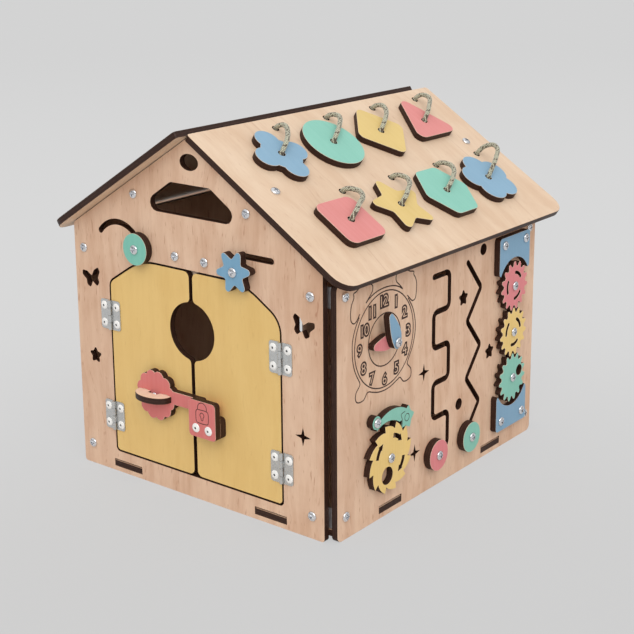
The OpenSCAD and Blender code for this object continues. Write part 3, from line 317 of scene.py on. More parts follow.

# %% [markdown]
# ## Matt paint
# The play pieces are rolled with a thin coat of water paint. It dries flat, with a fine
# stipple from the roller, and the grain under it is just visible as slightly lighter and
# darker streaks. Each colour has three tints, one for the door wall, one for the toy wall
# and one for the roof, set lighter or darker to how each is lit: the differences between
# them are painted light and shade.

# %% Paint group
matt_paint, given, made = shader_group(
    "matt paint",
    [("Place", "Vector", (0, 0, 0)), ("Paint", "Color", (0.5, 0.5, 0.5, 1)), ("Grain", "Float", 0.5)],
    [("Color", "Color"), ("Height", "Float"), ("Dull", "Float")])
tree = matt_paint
streaks = noise(tree, given["Place"], (420, 16, 60), 4.0, 0.65)
patches = noise(tree, given["Place"], (30, 22, 30), 2.0)
stipple = noise(tree, given["Place"], (1500, 1500, 1500), 2.0)
depth = maths(tree, "MULTIPLY", given["Grain"], ranged(tree, streaks, 0.3, 0.7, -0.16, 0.16))
value = maths(tree, "ADD", maths(tree, "ADD", depth, 1.0), ranged(tree, patches, 0.3, 0.7, -0.02, 0.02))
colour = put(tree, "HueSaturation", {"Value": value, "Color": given["Paint"],
                                     "Saturation": ranged(tree, streaks, 0.3, 0.7, 1.02, 0.98)})
tree.links.new(colour.outputs[0], made["Color"])
tree.links.new(maths(tree, "ADD", stipple, maths(tree, "MULTIPLY", streaks, 0.12)), made["Height"])
tree.links.new(ranged(tree, stipple, 0.3, 0.7, 0.5, 0.62), made["Dull"])
print("group", matt_paint.name)

# %% [markdown]
# ## Board finishes
# A finish is made for one slot of the record and one way that a board can lie. Light
# birch gets grain on its faces, painted pieces get paint, and all of them get the same
# scorched edge. The shader itself stays in the material, with the constant values on its
# own sockets.

# %% The ways a board lies, and the colours
lies = {
    "front": ((0, 0, 1), (0, -1, 0)),
    "side": ((0, 0, 1), (1, 0, 0)),
    "roof": (tuple(roof_up), tuple(roof_out)),
    "roof_left": ((roof_up[0], 0, -roof_up[2]), (-roof_out[0], 0, roof_out[2])),
    "flat": ((0, 1, 0), (0, 0, 1)),
}
woods = {
    "wall_ply": ((226, 192, 164), (200, 158, 129), (160, 100, 72), 0.9, 0.5, 0.1),
    "roof_ply": ((225, 199, 172), (206, 172, 142), (166, 112, 82), 0.65, 0.2, 0.25),
    "door_ply": ((229, 193, 124), (218, 178, 109), (190, 142, 82), 0.6, 0.15, 0.06),
    "bare_ply": ((238, 212, 188), (222, 190, 162), (170, 116, 86), 0.7, 0.3, 0.15),
}
# Painted light and shade: each paint has a lighter or darker tint for the door wall, the toy wall and the roof, to
# match how each is lit.
paints = {
    "pink_paint": {"front": (212, 121, 117), "side": (217, 131, 133), "roof": (218, 140, 136)},
    "teal_paint": {"front": (127, 192, 174), "side": (135, 192, 174), "roof": (139, 197, 180)},
    "blue_paint": {"front": (121, 163, 190), "side": (128, 162, 186), "roof": (136, 170, 193)},
    "yellow_paint": {"front": (229, 196, 127), "side": (231, 197, 125), "roof": (219, 191, 125)},
}
print(len(woods), "woods and", len(paints), "paints")

# %% Make a board finish


def board_finish(slot, lie):
    """The finish of a board: birch or paint on its faces, a rim that is pale on paint and partly a painted
    highlight, and a scorched edge.
    """
    material = bpy.data.materials.new(slot + "_" + lie)
    material.use_nodes = True
    tree = material.node_tree
    shader = tree.nodes["Principled BSDF"]
    along, out = lies[lie]
    where = put(tree, "TexCoord")
    place = use_group(tree, board_place, {
        "Point": where.outputs["Object"], "Along": along, "Out": out})["Place"]
    masks = use_group(tree, cut_sheet, {"Normal": where.outputs["Normal"], "Out": out})
    edge = use_group(tree, burnt_edge, {"Place": place, "Char": tint(48, 28, 20), "Ply": tint(70, 46, 36)})
    if slot in woods:
        light, dark, fleck, bands, flecks, lines = woods[slot]
        face = use_group(tree, birch_grain, {
            "Place": place, "Light": tint(*light), "Dark": tint(*dark), "Fleck": tint(*fleck),
            "Bands": bands, "Flecks": flecks, "Lines": lines})
        rim_colour = tint(170, 128, 98)
    else:
        face = use_group(tree, matt_paint, {"Place": place, "Paint": tint(*paints[slot][lie]), "Grain": 0.1})
        # Painted highlight: on painted pieces the pale rim is partly bare wood and partly a painted highlight.
        rim_colour = tint(232, 208, 180)
    colour = blended(tree, masks["Rim"], face["Color"], rim_colour)
    colour = blended(tree, masks["Face"], edge["Color"], colour)
    tree.links.new(colour, shader.inputs["Base Color"])
    tree.links.new(face["Dull"], shader.inputs["Roughness"])
    height = maths(tree, "ADD", face["Height"], edge["Height"])
    bump = put(tree, "Bump", {"Strength": 0.35, "Distance": 0.15 * mm, "Height": height})
    tree.links.new(bump.outputs[0], shader.inputs["Normal"])
    shader.inputs["Specular IOR Level"].default_value = 0.22
    return material


print("board finish ready")

# %% [markdown]
# ## Metal
# The bolts, nuts and braces are zinc plated: bright, slightly blue, with a cloudy sheen.
# The hinges are plated a little darker and duller. The rivet heads are white enamel.
# One group gives the cloudiness, and the plain values stay on the shader.

# %% Metal finishes
plating, given, made = shader_group(
    "plating",
    [("Point", "Vector", (0, 0, 0)), ("Metal", "Color", (0.8, 0.8, 0.8, 1)), ("Polish", "Float", 0.3)],
    [("Color", "Color"), ("Dull", "Float"), ("Height", "Float")])
clouds = noise(plating, given["Point"], (300, 300, 300), 4.0, 0.6)
brush = noise(plating, given["Point"], (2600, 2600, 160), 2.0)
darker = blended(plating, ranged(plating, clouds, 0.35, 0.75, 0.0, 0.2), given["Metal"], (0.3, 0.3, 0.3, 1))
plating.links.new(darker, made["Color"])
dullness = maths(plating, "ADD", given["Polish"], ranged(plating, clouds, 0.3, 0.8, -0.06, 0.16))
plating.links.new(dullness, made["Dull"])
plating.links.new(brush, made["Height"])


def metal_finish(name, colour, polish, metallic):
    """A plated or enamelled metal: its colour, how dull it is, and how metallic."""
    material = bpy.data.materials.new(name)
    material.use_nodes = True
    tree = material.node_tree
    shader = tree.nodes["Principled BSDF"]
    point = put(tree, "TexCoord").outputs["Object"]
    made = use_group(tree, plating, {"Point": point, "Metal": tint(*colour), "Polish": polish})
    tree.links.new(made["Color"], shader.inputs["Base Color"])
    tree.links.new(made["Dull"], shader.inputs["Roughness"])
    bump = put(tree, "Bump", {"Strength": 0.2, "Distance": 0.03 * mm, "Height": made["Height"]})
    tree.links.new(bump.outputs[0], shader.inputs["Normal"])
    shader.inputs["Metallic"].default_value = metallic
    return material


metals = {
    "zinc_bolts": metal_finish("zinc_bolts", (228, 229, 232), 0.19, 1.0),
    "brace_steel": metal_finish("brace_steel", (205, 206, 208), 0.36, 1.0),
    "hinge_steel": metal_finish("hinge_steel", (206, 207, 206), 0.24, 1.0),
    "rivets": metal_finish("rivets", (244, 242, 238), 0.2, 0.0),
}
print("metals", list(metals))

# %% [markdown]
# ## Dress the boards and the hardware
# Every node of the model keeps its shape. Its loose triangles are welded, flat areas are
# joined, and a tiny bevel breaks each sharp edge, as sandpaper does. The bevel could be
# faked in the shader, but real rounding also shows in the outline.

# %% Soften the edges with modifiers
smooth_faces = bpy.data.node_groups.new("smooth faces", "GeometryNodeTree")
smooth_faces.interface.new_socket("Geometry", in_out="INPUT", socket_type="NodeSocketGeometry")
smooth_faces.interface.new_socket("Geometry", in_out="OUTPUT", socket_type="NodeSocketGeometry")
into = smooth_faces.nodes.new("NodeGroupInput")
shade_smooth = smooth_faces.nodes.new("GeometryNodeSetShadeSmooth")
out_of = smooth_faces.nodes.new("NodeGroupOutput")
smooth_faces.links.new(into.outputs[0], shade_smooth.inputs["Geometry"])
smooth_faces.links.new(shade_smooth.outputs[0], out_of.inputs[0])


def soften(node, width):
    """Welds a node, joins its flat faces, bevels its sharp edges and evens out its shading."""
    node.modifiers.new("weld", "WELD").merge_threshold = 1e-6
    flat = node.modifiers.new("flat", "DECIMATE")
    flat.decimate_type = "DISSOLVE"
    flat.angle_limit = math.radians(0.5)
    bevel = node.modifiers.new("bevel", "BEVEL")
    bevel.width = width
    bevel.segments = 2
    bevel.angle_limit = math.radians(40)
    bevel.loop_slide = False  # sliding in a narrow notch would fold the flat face over itself
    node.modifiers.new("smooth", "NODES").node_group = smooth_faces
    node.modifiers.new("even", "WEIGHTED_NORMAL").weight = 50


print("modifiers ready")

# %% Give every node its finish
slot_of = {part["node"]: part["material_slot"] for part in frame["record"]["subparts"]}
lie_of = {
    "side": "left_wall right_wall hour_hand minute_hand maze_knob zigzag_knob ratchet_wheel pawl"
            " top_gear middle_gear bottom_gear gear_plates",
    "roof": "roof_right clover_tile round_tile diamond_tile triangle_tile square_tile star_tile"
            " hexagon_tile flower_tile",
    "roof_left": "roof_left",
    "flat": "floor_panel latch_handle",
}
lie_of = {node: lie for lie, names in lie_of.items() for node in names.split()}
board_bevel = 0.35 * mm
metal_bevel = 0.15 * mm
finishes = {}
for name, node in frame["nodes"].items():
    slot = slot_of[name]
    if slot == "cord":
        continue
    if slot in metals:
        finish = metals[slot]
        soften(node, metal_bevel)
    else:
        lie = lie_of.get(name, "front")
        finish = finishes.get((slot, lie)) or finishes.setdefault((slot, lie), board_finish(slot, lie))
        soften(node, board_bevel)
    for material_slot in node.material_slots:
        material_slot.material = finish
print("board finishes", len(finishes), "metal finishes", len(metals))

# %% [markdown]
# ## Shapes carried along a path
# Cords, knots and burnt lines are all one idea: a closed outline carried along a path.
# The path is an array of points, the outline is another, and adding the two on a grid
# gives every point of the surface at once. The same function closes the ends.

# %% Paths and tubes


def smooth_path(points, step, closed=False):
    """A Catmull-Rom curve: each span blends four neighbouring points with cubic weights, and the
    curve passes through all of them. It comes back cut into equal steps of its length."""
    points = np.asarray(points, float)
    if closed:
        around = np.vstack([points[-1], points, points[:2]])
    else:
        around = np.vstack([2 * points[0] - points[1], points, 2 * points[-1] - points[-2]])
    spans = len(around) - 3
    t = np.linspace(0, spans, spans * 16 + 1)
    span = np.minimum(t.astype(int), spans - 1)
    f = (t - span)[:, None]
    a, b, c, d = (around[span + k] for k in range(4))
    curve = 0.5 * (2 * b + (c - a) * f + (2 * a - 5 * b + 4 * c - d) * f**2 + (3 * b - a - 3 * c + d) * f**3)
    length = np.concatenate([[0], np.cumsum(np.linalg.norm(np.diff(curve, axis=0), axis=1))])
    count = max(3, round(length[-1] / step))
    even = np.linspace(0, length[-1], count + 1)
    if closed:
        even = even[:-1]
    return np.stack([np.interp(even, length, axis) for axis in curve.T], axis=1)


def directions(path, closed=False):
    """Unit steps along a path: the line from the point before to the point after."""
    if closed:
        step = np.roll(path, -1, axis=0) - np.roll(path, 1, axis=0)
    else:
        step = np.gradient(path, axis=0)
    return step / np.linalg.norm(step, axis=1)[:, None]


def grid_faces(rings, around, closed):
    """Squares between neighbouring rings, and a fan of triangles on each open end. The two end
    centres are the last two points."""
    i = np.arange(rings if closed else rings - 1)[:, None]
    k = np.arange(around)[None]
    here, there = i * around, (i + 1) % rings * around
    after = (k + 1) % around
    squares = np.stack([here + k, here + after, there + after, there + k], axis=-1).reshape(-1, 4)
    if closed:
        return squares.tolist()
    first, last = rings * around, rings * around + 1
    k = k[0]
    after = after[0]
    start = np.stack([after, k, np.full(around, first)], axis=1)
    end = np.stack([(rings - 1) * around + k, (rings - 1) * around + after, np.full(around, last)], axis=1)
    return squares.tolist() + start.tolist() + end.tolist()


print("a square path has", len(smooth_path([[0, 0], [1, 0], [1, 1], [0, 1]], 0.1, True)), "steps")

# %% Turn arrays into pieces


def outward(points, faces):
    """Turns all faces round if the volume that they close, the sum over all triangles of the triple
    product of their corners over six, is below zero."""
    middle = points.mean(axis=0)
    a, b, c = (points[[f[k] for f in faces]] - middle for k in range(3))
    d = points[[f[-1] for f in faces]] - middle
    volume = np.einsum("ij,ij->", a, np.cross(b, c)) + np.einsum("ij,ij->", a, np.cross(c, d))
    return faces if volume > 0 else [f[::-1] for f in faces]


def join(parts):
    """Several closed surfaces as one: their points in a row, and their faces renumbered."""
    starts = np.cumsum([0] + [len(points) for points, _ in parts])
    faces = [[v + start for v in face] for start, (_, fs) in zip(starts.tolist(), parts) for face in fs]
    return np.vstack([points for points, _ in parts]), faces


def new_piece(name, points, faces, material, body=None):
    """A mesh object at the origin, with its place in its points, that rides on a body."""
    mesh = bpy.data.meshes.new(name)
    mesh.from_pydata(points.tolist(), [], faces)
    mesh.polygons.foreach_set("use_smooth", np.ones(len(faces), bool))
    mesh.materials.append(material)
    piece = bpy.data.objects.new(name, mesh)
    bpy.context.scene.collection.objects.link(piece)
    if body:
        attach(piece, body)
    return piece


print("piece helpers ready")

# %% [markdown]
# ## Cords
# Each roof tile hangs on a short length of braided cord. It comes up through a hole in
# the roof, arches over and goes down the hole in the middle of its tile. A braid is two
# sets of strands that wind round the cord both ways and pass over and under each other.
# Where two strands cross, a small diamond stands proud. The sum of the turns and the
# length gives one set, their difference the other, and the product of the two waves
# gives the diamonds.

# %% Braid finish
braid_turns = 8
braid_pitch = 19.0 * mm
braid, given, made = shader_group(
    "braid",
    [("Turn", "Vector", (0, 0, 0)), ("Point", "Vector", (0, 0, 0)), ("Cord", "Color", (0.6, 0.6, 0.5, 1)),
     ("Shadow", "Color", (0.2, 0.2, 0.15, 1)), ("Thread", "Color", (0.3, 0.15, 0.08, 1))],
    [("Color", "Color"), ("Height", "Float")])
tree = braid
turn = put(tree, "SeparateXYZ", {0: given["Turn"]}).outputs
right = maths(tree, "ADD", turn["X"], turn["Y"])
left = maths(tree, "SUBTRACT", turn["X"], turn["Y"])
waves = [maths(tree, "SINE", maths(tree, "MULTIPLY", side, math.pi * braid_turns)) for side in (right, left)]
crossing = maths(tree, "MULTIPLY", *waves)
diamonds = ranged(tree, maths(tree, "ABSOLUTE", crossing), 0.02, 0.5)
strand = put(tree, "TexWhiteNoise", {"Vector": put(tree, "CombineXYZ", {
    "X": maths(tree, "FLOOR", maths(tree, "MULTIPLY", right, braid_turns)),
    "Y": maths(tree, "FLOOR", maths(tree, "MULTIPLY", left, braid_turns))}).outputs[0]},
    noise_dimensions="3D").outputs["Value"]
fuzz = noise(tree, given["Point"], (2400, 2400, 2400), 3.0, 0.6)
colour = blended(tree, diamonds, given["Shadow"], given["Cord"])
colour = blended(tree, ranged(tree, strand, 0.72, 0.76, 0.0, 0.9), colour, given["Thread"])
colour = blended(tree, ranged(tree, fuzz, 0.3, 0.8, 0.0, 0.35), colour, given["Shadow"])
tree.links.new(colour, made["Color"])
tree.links.new(maths(tree, "ADD", diamonds, fuzz), made["Height"])

cord_finish = bpy.data.materials.new("cord")
cord_finish.use_nodes = True
tree = cord_finish.node_tree
shader = tree.nodes["Principled BSDF"]
made = use_group(tree, braid, {
    "Turn": put(tree, "UVMap", uv_map="turns").outputs[0], "Point": put(tree, "TexCoord").outputs["Object"],
    "Cord": tint(212, 211, 186), "Shadow": tint(92, 86, 64), "Thread": tint(70, 48, 38)})
tree.links.new(made["Color"], shader.inputs["Base Color"])
bump = put(tree, "Bump", {"Strength": 0.5, "Distance": 0.2 * mm, "Height": made["Height"]})
tree.links.new(bump.outputs[0], shader.inputs["Normal"])
shader.inputs["Roughness"].default_value = 0.85
shader.inputs["Sheen Weight"].default_value = 0.3
print("group", braid.name)

# %% Cord routes
cord_d = 5.0
hole_back, hole_up = 35.0, 39.5
cord_mid = {
    "clover_tile": [[34, -36, 7], [33, -31, 11], [27, -23, 14], [17, -13, 15], [8, -6, 14], [2, -2, 11]],
    "round_tile": [[35, -36, 7], [34, -29, 12], [28, -21, 15], [18, -13, 15], [8, -6, 14], [2, -2, 11]],
    "diamond_tile": [[35, -36, 7], [33, -29, 12], [27, -20, 14], [17, -12, 15], [8, -6, 14], [2, -2, 11]],
    "triangle_tile": [[36, -37, 8], [35, -30, 13], [29, -21, 16], [18, -13, 16], [8, -6, 15], [2, -2, 11]],
    "square_tile": [[36, -35, 7], [37, -25, 12], [29, -15, 15], [17, -9, 15], [8, -4, 14], [2, -1, 11]],
    "star_tile": [[36, -35, 7], [35, -25, 12], [26, -15, 15], [16, -9, 15], [8, -4, 14], [2, -1, 11]],
    "hexagon_tile": [[36, -35, 7], [35, -26, 12], [27, -16, 15], [17, -9, 15], [8, -4, 14], [2, -1, 11]],
    "flower_tile": [[37, -37, 12], [38, -30, 20], [31, -20, 23], [19, -12, 21], [9, -6, 17], [2, -2, 12]],
}
cord_start, cord_end = -8.5, 1.0


def cord_route(tile, number):
    """The points of one cord: up out of the roof, over, and down into the tile's hole. They are
    marked from the tile's centre: back, down the slope and out."""
    marks = np.array([[hole_back, -hole_up, cord_start], [hole_back, -hole_up, 1]] + cord_mid[tile]
                     + [[0, 0, piece_t - 1], [0, 0, cord_end]], float)
    row, column = divmod(number, 4)
    return on_roof(tile_y[column] + marks[:, 0], tile_s[row] + marks[:, 1], marks[:, 2])


print("routes for", len(cord_mid), "cords")

# %% Braided cords


def braided_tube(path, diameter):
    """A tube whose radius swells where two strands of the braid cross: r times one plus a small
    share of the product of both strand waves, squared. Angle and length run over the grid."""
    around = 32
    along = directions(path)
    side = np.cross(along, np.cross(roof_out, roof_back + roof_up))
    side /= np.linalg.norm(side, axis=1)[:, None]
    lift = np.cross(along, side)
    length = np.concatenate([[0], np.cumsum(np.linalg.norm(np.diff(path, axis=0), axis=1))])
    u = np.arange(around) / around
    v = length[:, None] / braid_pitch
    swell = (np.sin(math.pi * braid_turns * (u + v)) * np.sin(math.pi * braid_turns * (u - v))) ** 2
    radius = diameter / 2 * (0.95 + 0.05 * swell)[..., None]
    angle = 2 * math.pi * u[None, :, None]
    rings = path[:, None] + radius * (np.cos(angle) * side[:, None] + np.sin(angle) * lift[:, None])
    points = np.vstack([rings.reshape(-1, 3), path[:1], path[-1:]])
    u_next = np.append(u, 1.0)
    corners = np.stack(np.broadcast_arrays(u_next[None, :], v), axis=-1)
    turns = np.stack([corners[:-1, :-1], corners[:-1, 1:], corners[1:, 1:], corners[1:, :-1]], axis=2)
    return points, grid_faces(len(path), around, False), turns.reshape(-1, 2)


def add_turns(piece, turns):
    """Writes the braid's own coordinates, turns round and length along, into a UV map."""
    layer = piece.data.uv_layers.new(name="turns")
    values = np.zeros((len(layer.data), 2))
    values[:len(turns)] = turns
    layer.data.foreach_set("uv", values.ravel())


cord_lengths = []
for number, tile in enumerate(cord_mid):
    path = smooth_path(cord_route(tile, number), 0.5 * mm)
    points, faces, turns = braided_tube(path, cord_d * mm)
    flipped = outward(points, faces) is not faces
    if flipped:
        faces = [face[::-1] for face in faces]
        turns = turns.reshape(-1, 4, 2)[:, ::-1].reshape(-1, 2)
    cord = new_piece(tile.replace("tile", "cord"), points, faces, cord_finish)
    add_turns(cord, turns)
    length = float(np.linalg.norm(np.diff(path, axis=0), axis=1).sum())
    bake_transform(cord)
    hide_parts("roof_cords")
    cord_lengths.append(round(length / mm, 1))
print("cord lengths in mm", cord_lengths)

# %% [markdown]
# ## Knots
# Under the roof each cord ends in a knot that can't slip back through the hole. An
# overhand knot pulled tight is close to a trefoil: the point goes twice round the middle
# while it rises and falls three times.

# %% Overhand knots


def trefoil(centre, size):
    """A trefoil in the roof's plane. Back goes the sine of an angle plus twice the sine of its
    double, up goes its cosine less twice the cosine of its double, and out goes minus the sine of
    three times the angle."""
    t = np.linspace(0, 2 * math.pi, 97)[:-1, None]
    x = np.sin(t) + 2 * np.sin(2 * t)
    y = np.cos(t) - 2 * np.cos(2 * t)
    z = -np.sin(3 * t)
    return centre + size * (x * roof_back + y * roof_up + 1.3 * z * roof_out)


def plain_tube(path, radius, around, upward):
    """A round tube along a closed path. Its rings stand square to the path, and one of their two
    directions is the path's direction crossed with a fixed one."""
    along = directions(path, closed=True)
    side = np.cross(along, upward)
    side /= np.linalg.norm(side, axis=1)[:, None]
    lift = np.cross(along, side)
    angle = np.linspace(0, 2 * math.pi, around, endpoint=False)[None, :, None]
    rings = path[:, None] + radius * (np.cos(angle) * side[:, None] + np.sin(angle) * lift[:, None])
    points = rings.reshape(-1, 3)
    return points, outward(points, grid_faces(len(path), around, True))


knots = []
for number, tile in enumerate(cord_mid):
    top = cord_route(tile, number)[0]
    knots.append(plain_tube(trefoil(top - 3.6 * mm * roof_out, 1.25 * mm), 1.75 * mm, 16, roof_out))
knot_points, knot_faces = join(knots)
knot_piece = new_piece("knots", knot_points, knot_faces, cord_finish, "house")
around, rings = 16, 96
ring_turn = np.stack(np.meshgrid(np.arange(rings) * 0.45 * mm / braid_pitch, np.arange(around) / around,
                                 indexing="ij"), axis=-1)[..., ::-1].reshape(-1, 2)
layer = knot_piece.data.uv_layers.new(name="turns")
vertex_of_corner = np.zeros(len(layer.data), int)
knot_piece.data.loops.foreach_get("vertex_index", vertex_of_corner)
layer.data.foreach_set("uv", ring_turn[vertex_of_corner % (around * rings)].ravel())
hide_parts("cord_knots")
print("knots", len(knots), "with", len(knot_faces), "faces")

# %% [markdown]
# ## Burnt lines
# The clock face, the padlock on the lock plate and the star on the pawl are drawn with
# the same laser at low power: thin, dark brown lines. They could be a mask in the wood's
# finish, but as real, very low ridges they keep their sharp edges at any size. Each line
# is a flat oval carried along its path in the plane of its board.

# %% Burnt line finish and helper
burn_finish = bpy.data.materials.new("burnt_line")
burn_finish.use_nodes = True
tree = burn_finish.node_tree
shader = tree.nodes["Principled BSDF"]
made = use_group(tree, burnt_edge, {
    "Place": put(tree, "TexCoord").outputs["Object"], "Char": tint(54, 32, 25), "Ply": tint(74, 49, 40)})
tree.links.new(made["Color"], shader.inputs["Base Color"])
bump = put(tree, "Bump", {"Strength": 0.3, "Distance": 0.05 * mm, "Height": made["Height"]})
tree.links.new(bump.outputs[0], shader.inputs["Normal"])
shader.inputs["Roughness"].default_value = 0.8


def burnt_line(marks, wall, out, width, closed=False, step=1.2):
    """A flat oval, width wide and a tenth of a millimetre high, carried along the marks on a wall."""
    path = smooth_path(marks, step, closed)
    along = directions(path, closed)
    side = np.stack([-along[:, 1], along[:, 0]], axis=1)
    angle = np.linspace(0, 2 * math.pi, 8, endpoint=False)
    spread, rise = width / 2 * np.cos(angle), 0.06 * np.sin(angle)
    flat = path[:, None] + side[:, None] * spread[None, :, None]
    height = np.broadcast_to(out + 0.02 + rise, flat.shape[:2])
    points = wall(flat[..., 0], flat[..., 1], height).reshape(-1, 3)
    if not closed:
        ends = path[[0, -1]]
        points = np.vstack([points, wall(ends[:, 0], ends[:, 1], out + 0.02)])
    return points, outward(points, grid_faces(len(path), 8, closed))


def arc(centre, radius, start, end, count=24):
    """Marks on an arc: the centre plus the radius times the cosine and sine of the angle."""
    angle = np.radians(np.linspace(start, end, count))
    return np.stack([centre[0] + radius * np.cos(angle), centre[1] + radius * np.sin(angle)], axis=1)


print("burnt line helper ready")

# %% [markdown]
# ## Clock face
# The toy wall carries an alarm clock: two rings for the dial, a rim that is broken by two
# bells and two feet, and the twelve hours. The rings are arcs, and the bells and feet are
# smooth curves through a few marks.

# %% Dial, bells and feet
clock = (-101.6, 178.0)
dial_line = 1.25
left_bell = [[-131, 220], [-122, 228], [-120.5, 233], [-123, 236], [-130, 237.5], [-138, 237.5],
             [-146, 234], [-149.5, 233], [-149, 229], [-152.5, 223], [-154, 215], [-153, 208],
             [-149, 205], [-145, 206.5], [-140, 212]]
right_bell = [[-73, 220], [-78, 225], [-83.5, 230], [-83, 236], [-76, 238], [-68, 237.5],
              [-61, 234.5], [-55, 233], [-55, 230], [-52, 226], [-50, 220], [-50.5, 212],
              [-52, 206], [-56, 204.5], [-59, 206], [-65.5, 212]]
left_foot = [[-140.5, 147], [-140, 144.5], [-142, 142], [-146, 138], [-147, 133], [-145, 129], [-141, 127.5],
             [-135, 127.7], [-132, 130], [-129.5, 133], [-126, 133.5], [-122, 132]]
right_foot = [[-82, 132], [-77, 133.5], [-74, 131], [-71, 128], [-66, 127], [-60, 128.5],
              [-58, 132], [-58.5, 137], [-61, 140], [-64.5, 143.5], [-64, 146], [-61.5, 150]]
rim_arcs = [[[-131, 220], [-124, 224], [-114, 227], [-102, 228], [-90, 227], [-80, 224], [-73, 220]],
            [[-141, 209], [-147, 200], [-151, 189], [-151.6, 178], [-150, 166], [-146, 156], [-140.5, 147]],
            [[-122, 132], [-112, 129], [-102, 128], [-92, 129], [-82, 132]],
            [[-61.5, 150], [-55.5, 160], [-52, 172], [-52, 184], [-56, 197], [-64, 209]]]
lines = [burnt_line(arc(clock, r, 0, 355, 72), on_side, 0, dial_line, True) for r in (25.4, 46.5)]
lines += [burnt_line(marks, on_side, 0, dial_line)
          for marks in [left_bell, right_bell, left_foot, right_foot] + rim_arcs]
clock_points, clock_faces = join(lines)
new_piece("clock_lines", clock_points, clock_faces, burn_finish, "house")
print("clock lines", len(lines), "with", len(clock_faces), "faces")

# %% [markdown]
# The hours are round, hollow figures. Blender's own text gives the shapes: with no fill
# and a small round bevel, only the outline is left. It is made a mesh first, and then its
# points are marked out on the wall like every other line.

# %% Hours
hour_height = 14.0
hour_marks = [(-83.5, 210.5), (-69.5, 197), (-63.5, 177.5), (-69, 159.5), (-82.5, 145), (-101.5, 139.5),
              (-121, 145), (-134.5, 158.5), (-140.5, 177), (-132, 194.5), (-121, 209), (-102, 215.5)]


def hollow_figure(words, centre):
    """The outline of a figure as a thin tube, scaled to its height and pressed flat on the wall."""
    text = bpy.data.curves.new("figure", "FONT")
    text.body = words
    text.fill_mode = "NONE"
    text.offset = 0.05
    text.bevel_depth = 0.06
    text.bevel_resolution = 1
    text.resolution_u = 4
    text.space_character = 0.92
    holder = bpy.data.objects.new("figure", text)
    bpy.context.scene.collection.objects.link(holder)
    mesh = bpy.data.meshes.new_from_object(holder.evaluated_get(bpy.context.evaluated_depsgraph_get()))
    points = np.zeros(len(mesh.vertices) * 3)
    mesh.vertices.foreach_get("co", points)
    faces = [list(polygon.vertices) for polygon in mesh.polygons]
    bpy.data.objects.remove(holder)
    bpy.data.curves.remove(text)
    bpy.data.meshes.remove(mesh)
    points = points.reshape(-1, 3)
    low, high = points.min(axis=0), points.max(axis=0)
    points = (points - (low + high) / 2) * hour_height / (high - low)[1]
    return on_side(centre[0] + points[:, 0], centre[1] + points[:, 1], 0.02 + points[:, 2] * 0.15), faces


figures = [hollow_figure(str(hour + 1), centre) for hour, centre in enumerate(hour_marks)]
hour_points, hour_faces = join(figures)
new_piece("clock_hours", hour_points, hour_faces, burn_finish, "house")
print("hours", len(figures), "with", len(hour_faces), "faces")

# %% [markdown]
# ## Padlock and star
# A small padlock marks the lock plate, and part of the star's own outline and a ring for its
# bolt are drawn on the pawl. They sit on the outer faces of their pieces and move with them.

# %% Padlock and star
plate_out = 7.8 + piece_t
lock_line = 0.8
shackle = np.vstack([[[18.6, 102]], arc((24.3, 104), 5.8, 170, 10, 12), [[30.0, 102]]])
lock_body = [[19, 102.3], [29.5, 102.3], [32, 100], [32, 91.5], [29.5, 89], [18.5, 89],
             [16.3, 91.5], [16.3, 100], [18.5, 102.3]]
lock_key = np.vstack([arc((24, 97), 2.6, -60, 240, 14), [[23, 92.2], [25, 92.2]], [[25.3, 94.7]]])
padlock = [burnt_line(marks, on_front, plate_out, lock_line, closed)
           for marks, closed in ((shackle, False), (lock_body, True), (lock_key, True))]
lock_points, lock_faces = join(padlock)
new_piece("padlock_lines", lock_points, lock_faces, burn_finish, "right_door")

pawl_out = 0.5 + piece_t
star_centre = (-75.0, 94.4)
turns = np.radians(6 + 36 * np.arange(10))
reach = np.where(np.arange(10) % 2 == 0, 11.0, 7.6)
star_marks = star_centre + reach[:, None] * np.stack([np.cos(turns), np.sin(turns)], axis=1)
pawl_lines = [burnt_line(arc(star_centre, 3.7, 0, 330, 12), on_side, pawl_out, 0.75, True),
              burnt_line(star_marks[3:7], on_side, pawl_out, 0.75)]
pawl_points, pawl_faces = join(pawl_lines)
new_piece("pawl_lines", pawl_points, pawl_faces, burn_finish, "pawl")
print("padlock faces", len(lock_faces), "pawl faces", len(pawl_faces))

# %% [markdown]
# ## Rivet pins
# A blind rivet keeps the broken end of its steel pin in a hollow in the middle of its head.
# The hollow lies in shade, and its dark dot is painted: the pin is a small dome in a dark,
# not metallic colour, which stands for that shade. Each is a small dome: a quarter circle
# turned round the rivet's axis, closed at its pole.

# %% Rivet pins
# Painted shade: the pin's dark colour stands for the shade in the hollow of the rivet head.
pin_shade_finish = metal_finish("rivet_pin_shade", (46, 44, 43), 0.6, 0.0)
hinge_x, rivet_x, rivet_z = 111.0, 8.5, 8.9
hinge_heights = (61.6, 168.8)


def dome(centre_x, centre_z, out, radius, height):
    """A dome on the door wall: radius times the cosine, and height times the sine, of an angle
    from 0 to 90 degrees, turned round. Its last ring is a point, and its foot is closed."""
    rise = np.radians(np.linspace(0, 84, 6))[:, None]
    turn = np.linspace(0, 2 * math.pi, 20, endpoint=False)[None]
    x = centre_x + radius * np.cos(rise) * np.cos(turn)
    z = centre_z + radius * np.cos(rise) * np.sin(turn)
    rings = on_front(x, z, out + height * np.sin(rise) * np.ones_like(turn)).reshape(-1, 3)
    ends = on_front(np.full(2, centre_x), np.full(2, centre_z), np.array([out, out + height]))
    points = np.vstack([rings, ends])
    return points, outward(points, grid_faces(6, 20, False))


def pins(name, body, marks, out):
    """One piece with a dome at each rivet."""
    points, faces = join([dome(x, z, out, 1.25, 0.8) for x, z in marks])
    new_piece(name, points, faces, pin_shade_finish, body)
    return len(marks)


